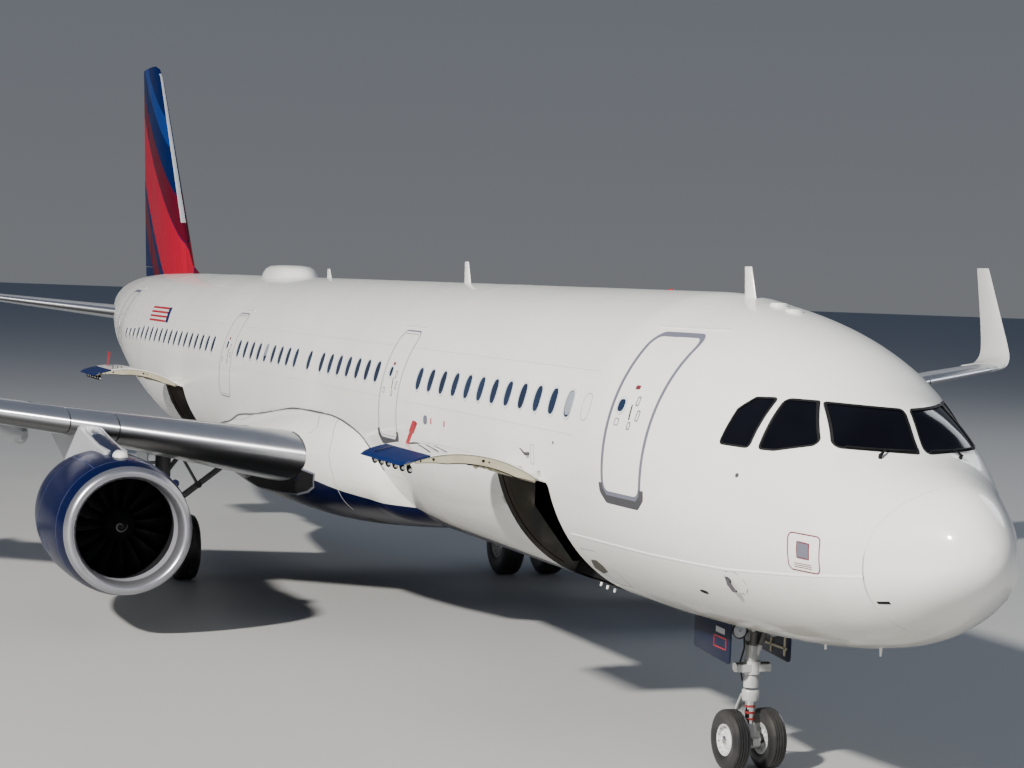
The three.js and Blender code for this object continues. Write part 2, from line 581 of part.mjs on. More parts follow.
// One fan blade from the hub to the tip, twisted about its own length
function fanBlade(angle) {
  const rows = [
    [0.26, 0.11, 36],
    [FAN_RADIUS, 0.15, 60],
  ];
  return loft(
    rows.map(([r, half, twist]) => {
      const [c, s] = [Math.cos((twist * Math.PI) / 180), Math.sin((twist * Math.PI) / 180)];
      return [[-half, -0.008], [half, -0.008], [half, 0.008], [-half, 0.008]].map(([u, w]) => {
        const [aft, around] = [u * c - w * s, (u * s + w * c) / r];
        return v3(-(FAN_S + aft) * m, r * Math.cos(angle + around) * m, r * Math.sin(angle + around) * m);
      });
    }),
  );
}
const SPINNER = [[0.75, 0.01], [0.81, 0.1], [0.95, 0.24], [1.05, 0.29], [1.35, 0.32]];
const fanDisc = union(
  turned(axisProfile(SPINNER), 0, 0, 0, 16),
  Array.from({ length: FAN_BLADES }, (_, i) => fanBlade((2 * Math.PI * i) / FAN_BLADES)),
);
const guideVanes = Array.from({ length: 4 }, (_, i) => {
  const a = (2 * Math.PI * (i + 0.5)) / 4;
  const [y, z] = [Math.cos(a), Math.sin(a)];
  return [0.45, 0.925].map((r) => [y * r, z * r]);
}).map(([p, q]) => bar(
  v3(-1.87 * m, p[0] * m, p[1] * m), v3(-1.87 * m, q[0] * m, q[1] * m), 0.04 * m, 0.04 * m, 6,
));
for (const [word, side] of [["left", 1], ["right", -1]]) {
  const here = [-ENGINE_S, side * ENGINE_Y, ENGINE_Z];
  const pylonCut = side > 0 ? pylonBlock(REST_GAP) : mirrored(pylonBlock(REST_GAP));
  const cowl = turned(closedProfile(COWL), 0, 0, 0, ENGINE_SIDES).translate(here).subtract(pylonCut);
  const core = union(turned(axisProfile(CORE), 0, 0, 0, 20), guideVanes).translate(here).subtract(pylonCut);
  place(`inlet_lip_${word}`, turned(closedProfile(LIP), 0, 0, 0, ENGINE_SIDES).translate([
    here[0] + REST_GAP, here[1], here[2]]), "metal");
  place(`engine_cowl_${word}`, cowl, "blue");
  place(`engine_core_${word}`, core, "dark");
  place(`fan_${word}`, fanDisc.translate(here), "dark");
}

// TAIL: the fin and rudder. columns: height, leading edge, chord, thickness share
const FIN = [
  [5.45, 36.45, 5.95, 0.11],
  [6.2, 37.0, 5.6, 0.11],
  [11.35, 41.2, 2.42, 0.1],
  [11.65, 41.65, 2.06, 0.09],
  [11.76, 42.1, 1.6, 0.06],
];
const finSection = ([z, lead, chord, share]) =>
  sectionShape(share, 0).map(([x, t]) => at((lead + x * chord) * m, t * chord * m, z * m));
const DORSAL = [[35.3, 5.8], [36.6, 6.12], [37.5, 6.85], [38.4, 6.6], [38.4, 5.8]];
const wholeFin = union(loft(FIN.map(finSection)), sidePrism(scaled(DORSAL), -0.07 * m, 0.07 * m));
const RUDDER_FOOT = { s: 40.75, z: 6.02 };
const RUDDER_HEAD = { s: 42.82, z: 11.4 };
const rudderEnds = [
  { ...RUDDER_FOOT, y: 0, radius: 0.202 },
  { ...RUDDER_HEAD, y: 0, radius: 0.08 },
];
const rudderSlope = (RUDDER_HEAD.s - RUDDER_FOOT.s) / (RUDDER_HEAD.z - RUDDER_FOOT.z);
const aftOfRudder = sidePrism(
  scaled([
    [RUDDER_FOOT.s - rudderSlope, RUDDER_FOOT.z - 1],
    [RUDDER_HEAD.s + rudderSlope, RUDDER_HEAD.z + 1],
    [46, RUDDER_HEAD.z + 1],
    [46, RUDDER_FOOT.z - 1],
  ]),
  -m,
  m,
);
const rudderSpan = (grow) => block(30 * m, 50 * m, -m, m, RUDDER_FOOT.z * m - grow, RUDDER_HEAD.z * m + grow);
place("rudder", wholeFin.intersect(controlShape(rudderEnds, aftOfRudder, rudderSpan, 0, 0.036)), "blue");
const fin = wholeFin
  .subtract(controlShape(rudderEnds, aftOfRudder, rudderSpan, 1.4 * MOVING_GAP))
  .subtract(hullOver);
place("fin", fin, "blue");

// Tailplane, one piece through the tail cone. columns: y, leading edge, chord, height, thickness share
const TAILPLANE = [
  [0.0, 38.85, 4.3, 4.68, 0.1],
  [0.95, 39.25, 3.85, 4.74, 0.1],
  [6.12, 42.42, 1.42, 5.2, 0.09],
  [6.22, 42.7, 1.05, 5.21, 0.06],
];
const halfTailplane = loft(TAILPLANE.map((row) => flatSection(row, 0)));
const ELEVATOR = { y0: 1.02, y1: 5.85, share: 0.68 };
const elevatorEnds = [ELEVATOR.y0, ELEVATOR.y1].map((y) => {
  const [a, b] = [TAILPLANE[1], TAILPLANE[2]];
  const u = (y - a[0]) / (b[0] - a[0]);
  const [, lead, chord, z, share] = a.map((v, i) => v + u * (b[i] - v));
  return { s: lead + ELEVATOR.share * chord, y, z, radius: 0.97 * halfThickness(ELEVATOR.share, share) * chord };
});
const elevatorSpan = across(ELEVATOR.y0, ELEVATOR.y1);
const elevator = halfTailplane.intersect(
  controlShape(elevatorEnds, aftOf(elevatorEnds), elevatorSpan, 0, 0.018),
);
const TAIL_ROOT_END = 42.2;
const halfFixed = halfTailplane
  .subtract(controlShape(elevatorEnds, aftOf(elevatorEnds), elevatorSpan, MOVING_GAP))
  .subtract(block(TAIL_ROOT_END * m, 50 * m, -m, ELEVATOR.y0 * m, 0, 12 * m));
place("tailplane", union(halfFixed, mirrored(halfFixed)), "grey");
place("elevator_left", elevator, "grey");
place("elevator_right", mirrored(elevator), "grey");
const tailplaneOver = union(
  ...[1, -1].map((side) => {
    const grown = loft(TAILPLANE.map(([y, lead, chord, z, share]) =>
      flatSection([y, lead - 3 * REST, chord + 6 * REST, z, share + 0.004], 0)));
    return side > 0 ? grown : mirrored(grown);
  }),
);

// FUSELAGE: sections where the real ones join. columns: name, first station, last station
const SECTIONS = [
  ["radome", -0.1, 0.96],
  ["fuselage_front", 0.96, 12.9],
  ["fuselage_centre", 12.9, 26.2],
  ["fuselage_rear", 26.2, 38.2],
  ["tail_cone", 38.2, 45],
];
const NOSE_BAY = { s0: 4.55, s1: 5.95, half: 0.32, top: 2.75 };
const noseBay = block(NOSE_BAY.s0 * m, NOSE_BAY.s1 * m, -NOSE_BAY.half * m, NOSE_BAY.half * m, 1.5 * m, NOSE_BAY.top * m);
// Blade aerials on the crown and keel: columns are station, foot height, tip height
const AERIALS = [
  [5.5, 5.7, 6.25],
  [15.75, 5.8, 6.28],
  [27.9, 1.9, 1.42],
];
const aerial = ([s, foot, tip]) =>
  loft([[foot, 0.36, 0.03, 0], [tip, 0.16, 0.012, 0.16]].map(([z, length, half, back]) =>
    [[0, 0], [0.25, half], [0.7, half], [1, 0], [0.7, -half], [0.25, -half]].map(([u, y]) =>
      at((s - 0.18 + back + u * length) * m, y * m, z * m))));
const NOSE_PAD = { s: 3.1, z: 1.86, radius: 0.09 };
const nosePad = bar(at(NOSE_PAD.s * m, 0, NOSE_PAD.z * m), at(NOSE_PAD.s * m, 0, (NOSE_PAD.z + 0.3) * m), NOSE_PAD.radius * m);
const cuts = union(doorWells, cargoWells, glassWell, noseBay,
  HOLDS.map(holdSpace), CARGO_DOORS.map(wayIn));
for (const [name, s0, s1] of SECTIONS) {
  const slice = block(s0 * m + REST_GAP / 2, s1 * m - REST_GAP / 2, -3 * m, 3 * m, 0, 8 * m);
  let piece = hull.intersect(slice).subtract(cuts);
  const here = AERIALS.filter(([s]) => s > s0 && s < s1).map(aerial);
  if (name === "fuselage_front") here.push(nosePad);
  if (here.length) piece = union(piece, here);
  if (name === "fuselage_centre") piece = piece.subtract(bothWings);
  if (name === "tail_cone") piece = piece.subtract(tailplaneOver);
  place(name, piece, "white");
}

// Aerial dome on the crown: a low oval cover
const DOME = { s: 27.05, z: 5.82, half: [1.35, 0.5, 0.42] };
const domeShape = new THREE.SphereGeometry(1, 16, 10).scale(DOME.half[0] * m, DOME.half[1] * m, DOME.half[2] * m);
const dome = solidOf(domeShape.translate(-DOME.s * m, 0, DOME.z * m));
place("aerial_dome", dome.subtract(hullOver).intersect(block(20 * m, 30 * m, -m, m, 5.6 * m, 7 * m)), "white");

// LANDING GEAR
// Twin wheels: columns are name, station, y of the leg, half spacing, tyre radius, half tyre width, rim radius
const WHEELS = [
  ["nose", NOSE_GEAR_S / m, 0, 0.25, 0.381, 0.11, 0.2],
  ["main_left", MAIN_GEAR_S / m, MAIN_GEAR_Y / m, 0.4635, 0.63, 0.22, 0.29],
  ["main_right", MAIN_GEAR_S / m, -MAIN_GEAR_Y / m, 0.4635, 0.63, 0.22, 0.29],
];
const WHEEL_SIDES = 24;
const RIM_SIDES = 16;
const AXLE = 0.055;
// The polygon's flat touches the ground, so the centre is at the flat's distance from it.
const axleHeight = (radius) => radius * Math.cos(Math.PI / WHEEL_SIDES);
for (const [name, s, y, spacing, radius, half, rim] of WHEELS) {
  const z = axleHeight(radius);
  const tyre = [
    [-0.85 * half, rim], [-half, 0.55 * (rim + radius)], [-0.6 * half, radius],
    [0.6 * half, radius], [half, 0.55 * (rim + radius)], [0.85 * half, rim],
  ];
  const seat = 0.98 * rim;
  const wheel = [
    [-0.7 * half, AXLE], [-0.7 * half, 0.4 * rim], [-0.3 * half, 0.75 * rim], [-0.85 * half, seat],
    [0.85 * half, seat], [0.3 * half, 0.75 * rim], [0.7 * half, 0.4 * rim], [0.7 * half, AXLE],
  ];
  const scaledUp = (rows) => [...rows, rows[0]].map(([a, r]) => [a * m, r * m]);
  const rims = [1, -1].map((side) => {
    const centre = y + side * spacing;
    const word = name === "nose" ? (side > 0 ? "left" : "right") : side * y > 0 ? "outer" : "inner";
    place(`tyre_${name}_${word}`, wheelRing(scaledUp(tyre), s * m, centre * m, z * m, WHEEL_SIDES), "rubber");
    return wheelRing(scaledUp(wheel), s * m, centre * m, z * m, RIM_SIDES);
  });
  const reach = spacing + 0.7 * half;
  const axle = bar(at(s * m, (y - reach) * m, z * m), at(s * m, (y + reach) * m, z * m), (AXLE + 0.01) * m, undefined, 12);
  place(`wheels_${name}`, union(rims, axle), "rim");
}

// An eye that the axle runs through, across the aircraft.
function axleEye(s, y, z, half, radius) {
  const ring = [[-half, 0], [-half, radius], [half, radius], [half, 0]].map(([a, r]) => [a * m, r * m]);
  return wheelRing(ring, s * m, y * m, z * m, 16);
}
const axleBore = (s, y, z) =>
  bar(at(s * m, (y - 1) * m, z * m), at(s * m, (y + 1) * m, z * m), (AXLE + 0.01) * m + MOVING_GAP / 2, undefined, 16);

// Nose gear: the fixed leg and brace, and below the steering collar all that turns
const NOSE = { s: NOSE_GEAR_S / m, eyeZ: axleHeight(0.381), collarZ: 1.02, topZ: 2.5 };
const noseLeg = union(
  bar(at(NOSE.s * m, 0, NOSE.collarZ * m), at(NOSE.s * m, 0, NOSE.topZ * m), 0.095 * m, 0.095 * m),
  bar(at(NOSE.s * m, 0, 1.3 * m), at(4.62 * m, 0.2 * m, 2.6 * m), 0.035 * m, 0.035 * m, 8),
  bar(at(NOSE.s * m, 0, 1.3 * m), at(4.62 * m, -0.2 * m, 2.6 * m), 0.035 * m, 0.035 * m, 8),
  block((NOSE.s - 0.12) * m, (NOSE.s + 0.12) * m, -0.24 * m, 0.24 * m, 1.22 * m, 1.34 * m),
);
place("nose_leg", noseLeg, "gear");
const noseSteering = union(
  bar(at(NOSE.s * m, 0, NOSE.eyeZ * m), at(NOSE.s * m, 0, NOSE.collarZ * m - MOVING_GAP), 0.065 * m),
  bar(at(NOSE.s * m, 0, 0.86 * m), at(NOSE.s * m, 0, NOSE.collarZ * m - MOVING_GAP), 0.11 * m),
  axleEye(NOSE.s, 0, NOSE.eyeZ, 0.11, 0.12),
  bar(at((NOSE.s + 0.06) * m, 0, 0.92 * m), at((NOSE.s + 0.34) * m, 0, 0.68 * m), 0.03 * m, 0.03 * m, 8),
  bar(at((NOSE.s + 0.34) * m, 0, 0.68 * m), at((NOSE.s + 0.06) * m, 0, 0.46 * m), 0.03 * m, 0.03 * m, 8),
  block((NOSE.s - 0.22) * m, (NOSE.s - 0.05) * m, -0.07 * m, 0.07 * m, 0.33 * m, 0.43 * m),
).subtract(axleBore(NOSE.s, 0, NOSE.eyeZ));
place("nose_steering", noseSteering, "gear");
// Bay doors that stay open beside the leg, hung from the edges of the bay
for (const [word, side] of [["left", 1], ["right", -1]]) {
  const [near, far] = [0.4, 0.432].map((y) => side * y * m);
  place(`nose_door_${word}`, sidePrism(scaled([[4.85, 1.9], [4.85, 1.34], [5.85, 1.42], [5.85, 1.86]]),
    Math.min(near, far), Math.max(near, far)).subtract(hullOver), "white");
}

// Main gear: leg, side stay and torque link in one piece, with the eye for the axle
const MAIN = { s: MAIN_GEAR_S / m, y: MAIN_GEAR_Y / m, eyeZ: axleHeight(0.63), topZ: 2.58 };
const mainLeg = union(
  bar(at(MAIN.s * m, MAIN.y * m, 1.15 * m), at(MAIN.s * m, MAIN.y * m, MAIN.topZ * m), 0.15 * m),
  bar(at(MAIN.s * m, MAIN.y * m, MAIN.eyeZ * m), at(MAIN.s * m, MAIN.y * m, 1.2 * m), 0.1 * m),
  axleEye(MAIN.s, MAIN.y, MAIN.eyeZ, 0.16, 0.15),
  bar(at(MAIN.s * m, MAIN.y * m, 1.3 * m), at(MAIN.s * m, 2.5 * m, 2.29 * m), 0.07 * m, 0.07 * m, 8),
  bar(at((MAIN.s + 0.1) * m, MAIN.y * m, 1.3 * m), at((MAIN.s + 0.45) * m, MAIN.y * m, 0.95 * m), 0.04 * m, 0.04 * m, 8),
  bar(at((MAIN.s + 0.45) * m, MAIN.y * m, 0.95 * m), at((MAIN.s + 0.1) * m, MAIN.y * m, 0.64 * m), 0.04 * m, 0.04 * m, 8),
).subtract(axleBore(MAIN.s, MAIN.y, MAIN.eyeZ));
const LEG_DOOR = { y: 4.18, thick: 0.035 };
const legDoor = union(
  sidePrism(scaled([[21.45, 2.5], [21.5, 1.5], [21.7, 1.3], [22.25, 1.3], [22.4, 1.5], [22.45, 2.5]]),
    LEG_DOOR.y * m, (LEG_DOOR.y + LEG_DOOR.thick) * m),
  [1.7, 2.25].map((z) => block(21.87 * m, 22.07 * m, 3.95 * m, 4.2 * m, (z - 0.04) * m, (z + 0.04) * m)),
).subtract(wingOver);
for (const [word, turn] of [["left", (x) => x], ["right", mirrored]]) {
  place(`main_leg_${word}`, turn(mainLeg), "gear");
  place(`leg_door_${word}`, turn(legDoor), "white");
}

// The origin is on the ground, midway along the aircraft.
aircraft.position.x = LENGTH / 2;

export default aircraft;
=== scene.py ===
import json
import math

import bmesh
import bpy
import numpy as np
from mathutils import Matrix, Vector

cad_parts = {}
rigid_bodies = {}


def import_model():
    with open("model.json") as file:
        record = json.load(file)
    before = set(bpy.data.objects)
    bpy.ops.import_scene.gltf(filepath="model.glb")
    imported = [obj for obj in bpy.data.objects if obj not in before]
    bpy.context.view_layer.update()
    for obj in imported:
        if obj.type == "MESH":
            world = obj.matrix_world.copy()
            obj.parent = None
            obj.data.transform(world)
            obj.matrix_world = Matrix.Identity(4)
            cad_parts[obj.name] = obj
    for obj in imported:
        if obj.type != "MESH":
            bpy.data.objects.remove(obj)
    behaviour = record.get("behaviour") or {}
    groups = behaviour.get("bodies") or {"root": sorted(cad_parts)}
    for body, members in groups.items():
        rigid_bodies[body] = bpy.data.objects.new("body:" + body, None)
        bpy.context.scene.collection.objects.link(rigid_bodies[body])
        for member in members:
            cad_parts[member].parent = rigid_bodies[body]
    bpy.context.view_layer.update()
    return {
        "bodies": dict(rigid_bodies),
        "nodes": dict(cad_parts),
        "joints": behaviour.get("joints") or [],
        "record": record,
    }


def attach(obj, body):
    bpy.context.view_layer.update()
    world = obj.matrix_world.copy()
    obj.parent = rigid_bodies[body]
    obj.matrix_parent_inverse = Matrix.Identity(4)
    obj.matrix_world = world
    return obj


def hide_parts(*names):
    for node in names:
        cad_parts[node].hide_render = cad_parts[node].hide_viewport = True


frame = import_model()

# Ground, light and camera
# A pale floor runs out to the horizon under a soft sky of light. One wide lamp stands in for the sun on the
# starboard side, and the camera is where the photograph was taken from, at the height of a terminal window.
MODEL = 0.5  # one real metre, in metres of the model
LENGTH = 44.51  # real metres, nose tip to tail
HALF_LENGTH = LENGTH * MODEL / 2


def real(s, y, z):
    """A point from real metres: s aft of the nose tip, y to port, z above the ground."""
    return Vector((HALF_LENGTH - MODEL * s, MODEL * y, MODEL * z))


def node_material(name, colour, roughness=0.5, metallic=0.0, coat=0.0):
    material = bpy.data.materials.new(name)
    material.use_nodes = True
    shader = material.node_tree.nodes["Principled BSDF"]
    shader.inputs["Base Color"].default_value = (*colour, 1)
    shader.inputs["Roughness"].default_value = roughness
    shader.inputs["Metallic"].default_value = metallic
    shader.inputs["Coat Weight"].default_value = coat
    shader.inputs["Coat Roughness"].default_value = 0.06
    material.diffuse_color = (*colour, 1)
    return material, material.node_tree, shader


def feed(tree, node, inputs):
    """Sets a node's inputs by name or number: each is a value, or an output to link."""
    for key, value in inputs.items():
        if isinstance(value, bpy.types.NodeSocket):
            tree.links.new(value, node.inputs[key])
        else:
            node.inputs[key].default_value = value
    return node


def add_node(tree, kind, **inputs):
    """A new node, with an underscore for each space in the names of its inputs."""
    return feed(tree, tree.nodes.new(kind), {
        name.replace("_", " "): value for name, value in inputs.items()
    })


def add_maths(tree, operation, *inputs):
    node = tree.nodes.new("ShaderNodeMath")
    node.operation = operation
    return feed(tree, node, dict(enumerate(inputs))).outputs[0]


def add_mix(tree, share, first, second, blend="MIX"):
    """A colour made from two."""
    node = tree.nodes.new("ShaderNodeMix")
    node.data_type, node.blend_type = "RGBA", blend
    return feed(tree, node, {0: share, 6: first, 7: second}).outputs[2]


def remap(tree, value, low=0.0, high=1.0, to_low=0.0, to_high=1.0):
    """A value moved from one range to another and held inside it."""
    ends = {"From_Min": low, "From_Max": high, "To_Min": to_low, "To_Max": to_high}
    return add_node(tree, "ShaderNodeMapRange", Value=value, **ends).outputs["Result"]


def shader_of(material):
    return next(n for n in material.node_tree.nodes if n.type == "BSDF_PRINCIPLED")


def object_coordinates(tree):
    return tree.nodes.new("ShaderNodeTexCoord").outputs["Object"]


def mesh_piece(name, points, faces, material=None, smooth=True):
    """A mesh object at the origin, with its place in its mesh."""
    mesh = bpy.data.meshes.new(name)
    mesh.from_pydata([tuple(p) for p in points], [], [tuple(int(i) for i in f) for f in faces])
    mesh.validate()
    mesh.shade_smooth() if smooth else mesh.shade_flat()
    piece = bpy.data.objects.new(name, mesh)
    bpy.context.scene.collection.objects.link(piece)
    if material:
        mesh.materials.append(material)
    return piece


floor_paint, floor_tree, floor_shader = node_material("pale_floor", (0.44, 0.44, 0.43), 0.55)
floor_noise = add_node(
    floor_tree, "ShaderNodeTexNoise", Vector=object_coordinates(floor_tree), Scale=0.35, Detail=4.0
)
feed(floor_tree, floor_shader, {"Roughness": remap(floor_tree, floor_noise.outputs["Fac"], 0, 1, 0.5, 0.62)})
FLOOR_REACH = 400.0
floor = mesh_piece(
    "floor", [(x, y, -0.0005) for x, y in ((-1, -1), (1, -1), (1, 1), (-1, 1))], [(0, 1, 2, 3)], floor_paint,
    False
)
floor.data.transform(Matrix.Diagonal((FLOOR_REACH, FLOOR_REACH, 1, 1)))

world = bpy.data.worlds.new("soft_sky")
bpy.context.scene.world = world
world.use_nodes = True
sky = world.node_tree
sky_height = add_node(
    sky, "ShaderNodeSeparateXYZ", Vector=sky.nodes.new("ShaderNodeTexCoord").outputs["Generated"]
)
sky_ramp = add_node(sky, "ShaderNodeValToRGB", Fac=sky_height.outputs["Z"])
sky_ramp.color_ramp.elements[0].color = (0.70, 0.73, 0.78, 1)
sky_ramp.color_ramp.elements[1].color = (0.28, 0.39, 0.62, 1)
sky_ramp.color_ramp.elements[1].position = 0.55
sky.nodes["Background"].inputs["Strength"].default_value = 0.24
sky.links.new(sky_ramp.outputs["Color"], sky.nodes["Background"].inputs["Color"])


def lamp(name, place, aim, size, power, colour=(1, 1, 1)):
    light = bpy.data.lights.new(name, "AREA")
    light.shape, light.size, light.energy, light.color = "DISK", size, power, colour
    holder = bpy.data.objects.new(name, light)
    bpy.context.scene.collection.objects.link(holder)
    holder.location = place
    holder.rotation_euler = (Vector(aim) - Vector(place)).to_track_quat("-Z", "Y").to_euler()


lamp("sun_side", (25, -33, 25.5), (2, 0, 1), 2.4, 45000, (1, 0.965, 0.91))
lamp("nose_fill", (34, 6, 14), (8, 0, 1.5), 12, 1000, (0.9, 0.94, 1))
lamp("port_fill", (-4, 34, 22), (0, 0, 1), 18, 3800, (0.88, 0.93, 1))

CAMERA = {
    "place": (17.909, -12.421, 5.873), "yaw": 158.437, "pitch": -2.642, "roll": 2.188, "focal_px": 2104.94
}
yaw, pitch, roll = (math.radians(CAMERA[k]) for k in ("yaw", "pitch", "roll"))
forward = Vector((math.cos(pitch) * math.cos(yaw), math.cos(pitch) * math.sin(yaw), math.sin(pitch)))
level_right = Vector((math.sin(yaw), -math.cos(yaw), 0))
level_up = level_right.cross(forward)
right = math.cos(roll) * level_right + math.sin(roll) * level_up
up = math.cos(roll) * level_up - math.sin(roll) * level_right
camera_data = bpy.data.cameras.new("camera")
camera_data.sensor_width = 36.0
camera_data.lens = 36.0 * CAMERA["focal_px"] / 1024
camera_data.clip_end = 2000
camera = bpy.data.objects.new("camera", camera_data)
bpy.context.scene.collection.objects.link(camera)
x, y, z = CAMERA["place"]
turn = Matrix((right, up, -forward)).transposed().to_4x4()
camera.matrix_world = Matrix.Translation(real(-x, y, z)) @ turn
bpy.context.scene.camera = camera

# Paint shop finishes
# White gloss over aluminium skin, navy under the belly, and thin dirt that follows the airflow. One group
# makes the blotches and streaks, and each paint places it with its own colours and amounts.


def group_inputs(group, *sockets):
    for name, kind, value in sockets:
        socket = group.interface.new_socket(name=name, in_out="INPUT", socket_type=kind)
        socket.default_value = value


def build_weather_group():
    """Colour and roughness of a painted skin: cloudy tone, fore-and-aft streaks and fine grain."""
    group = bpy.data.node_groups.new("weathered_paint", "ShaderNodeTree")
    group_inputs(
        group,
        ("Paint", "NodeSocketColor", (0.8, 0.8, 0.8, 1)),
        ("Dirt", "NodeSocketColor", (0.3, 0.27, 0.22, 1)),
        ("Dirt Amount", "NodeSocketFloat", 0.1),
        ("Gloss", "NodeSocketFloat", 0.3),
        ("Streak Scale", "NodeSocketFloat", 3.0),
    )
    for name, kind in (
        ("Color", "NodeSocketColor"), ("Roughness", "NodeSocketFloat"), ("Height", "NodeSocketFloat")
    ):
        group.interface.new_socket(name=name, in_out="OUTPUT", socket_type=kind)
    inner = group.nodes.new("NodeGroupInput").outputs
    outer = group.nodes.new("NodeGroupOutput")
    place = object_coordinates(group)
    squeezed = add_node(group, "ShaderNodeMapping", Vector=place, Scale=(0.18, 1.6, 1.6))
    streaks = add_node(
        group, "ShaderNodeTexNoise", Vector=squeezed.outputs["Vector"], Scale=inner["Streak Scale"],
        Detail=6.0, Roughness=0.62
    )
    clouds = add_node(group, "ShaderNodeTexNoise", Vector=place, Scale=0.9, Detail=3.0)
    grain = add_node(group, "ShaderNodeTexNoise", Vector=place, Scale=90.0, Detail=2.0)
    mask = add_maths(
        group, "MULTIPLY", remap(group, streaks.outputs["Fac"], 0.48, 0.8), inner["Dirt Amount"]
    )
    tinted = add_mix(group, mask, inner["Paint"], inner["Dirt"])
    tone = remap(group, clouds.outputs["Fac"], 0.3, 0.7, 0.93, 1.0)
    shaded = add_mix(group, 1, tinted, tone, "MULTIPLY")
    gloss = add_maths(group, "MULTIPLY_ADD", clouds.outputs["Fac"], 0.12, inner["Gloss"])
    feed(group, outer, {"Color": shaded, "Roughness": gloss, "Height": grain.outputs["Fac"]})
    return group


weathered = build_weather_group()


def painted(
    name, paint, dirt=(0.3, 0.27, 0.22), amount=0.12, gloss=0.22, streak=3.0, metallic=0.0, coat=0.5,
    grain=0.02, shine=0.5
):
    """A paint whose colour, roughness and faint orange peel come from the weathering group."""
    material, tree, shader = node_material(name, paint, gloss, metallic, coat)
    shader.inputs["Specular IOR Level"].default_value = shine
    wear = tree.nodes.new("ShaderNodeGroup")
    wear.node_tree = weathered
    feed(tree, wear, {
        "Paint": (*paint, 1), "Dirt": (*dirt, 1), "Dirt Amount": amount, "Gloss": gloss,
        "Streak Scale": streak
    })
    bump = add_node(tree, "ShaderNodeBump", Strength=grain, Distance=0.002, Height=wear.outputs["Height"])
    feed(tree, shader, {
        "Base Color": wear.outputs["Color"], "Roughness": wear.outputs["Roughness"],
        "Normal": bump.outputs["Normal"]
    })
    return material


WHITE, NAVY, ROYAL = (0.84, 0.835, 0.80), (0.0018, 0.0042, 0.034), (0.0025, 0.011, 0.075)
white_paint = painted("white_gloss_paint", WHITE, amount=0.10)
navy_paint = painted(
    "navy_gloss_paint", NAVY, dirt=(0.004, 0.007, 0.025), amount=0.5, gloss=0.16, coat=0, shine=0.03
)
royal_paint = painted(
    "royal_blue_paint", ROYAL, dirt=(0.006, 0.02, 0.09), amount=0.4, gloss=0.35, coat=0, shine=0.2
)
grey_paint = painted("wing_grey_paint", (0.42, 0.44, 0.46), amount=0.2, gloss=0.3)
band_paint = painted("door_band_grey", (0.14, 0.145, 0.19), amount=0.1, gloss=0.4, coat=0)
scuff_paint = painted("scuff_plate_grey", (0.05, 0.05, 0.058), amount=0.3, gloss=0.5, coat=0)
seal_black = painted(
    "black_rubber_seal", (0.006, 0.006, 0.007), dirt=(0.05, 0.05, 0.05), amount=0.2, gloss=0.6, coat=0,
    shine=0.2
)
red_paint = painted("signal_red_paint", (0.38, 0.012, 0.025), amount=0.15, gloss=0.4, coat=0)
dark_red = painted("placard_dark_red", (0.16, 0.02, 0.035), amount=0.15, gloss=0.4, coat=0)

# Fuselage skin
# One tube of riveted aluminium sections with a moulded radome at the front, cut for the doors, cargo bays,
# cockpit glass and nose gear. The belly is navy up to a line that climbs towards the wing.
# columns: station, top height, bottom height, half width, height of the widest point
HULL = np.array([
    [0.0, 3.288, 3.288, 0.0, 3.288],
    [0.05, 3.48, 3.09, 0.2, 3.27],
    [0.2, 3.7, 2.9, 0.398, 3.2],
    [0.5, 3.93, 2.66, 0.64, 3.1],
    [1.0, 4.1, 2.35, 0.975, 3.12],
    [1.45, 4.268, 2.17, 1.21, 3.19],
    [1.8, 4.688, 2.085, 1.31, 3.24],
    [2.3, 4.975, 1.995, 1.47, 3.31],
    [3.0, 5.345, 1.915, 1.675, 3.4],
    [4.0, 5.63, 1.85, 1.835, 3.54],
    [5.0, 5.795, 1.805, 1.925, 3.68],
    [6.2, 5.91, 1.77, 1.975, 3.84],
    [30.5, 5.91, 1.77, 1.975, 3.84],
    [33.0, 5.91, 1.93, 1.955, 3.91],
    [35.5, 5.905, 2.36, 1.88, 4.12],
    [38.0, 5.89, 2.98, 1.68, 4.42],
    [40.5, 5.82, 3.66, 1.3, 4.73],
    [42.5, 5.66, 4.2, 0.88, 4.93],
    [44.0, 5.42, 4.6, 0.47, 5.01],
    [44.51, 5.26, 4.76, 0.25, 5.01],
])


def monotone(xs, ys, at):
    """A smooth curve through the points that never overshoots them."""
    h, slope = np.diff(xs), np.diff(ys) / np.diff(xs)
    tangent = np.zeros(len(xs))
    tangent[0], tangent[-1] = slope[0], slope[-1]
    for i in range(1, len(xs) - 1):
        a, b = slope[i - 1], slope[i]
        if a * b > 0:
            w1, w2 = 2 * h[i] + h[i - 1], h[i] + 2 * h[i - 1]
            tangent[i] = (w1 + w2) / (w1 / a + w2 / b)
    k = np.clip(np.searchsorted(xs, at, side="right") - 1, 0, len(xs) - 2)
    u = (at - xs[k]) / h[k]
    return (
        ys[k] * (1 + 2 * u) * (1 - u) ** 2 + h[k] * tangent[k] * u * (1 - u) ** 2
        + ys[k + 1] * u * u * (3 - 2 * u) + h[k] * tangent[k + 1] * u * u * (u - 1)
    )


def hull_section(s):
    """Top, bottom, half width and widest height of the hull at stations s, in real metres."""
    s = np.clip(np.atleast_1d(np.asarray(s, float)), 0, LENGTH)
    return [monotone(np.sqrt(HULL[:, 0]), HULL[:, c], np.sqrt(s)) for c in (1, 2, 3, 4)]


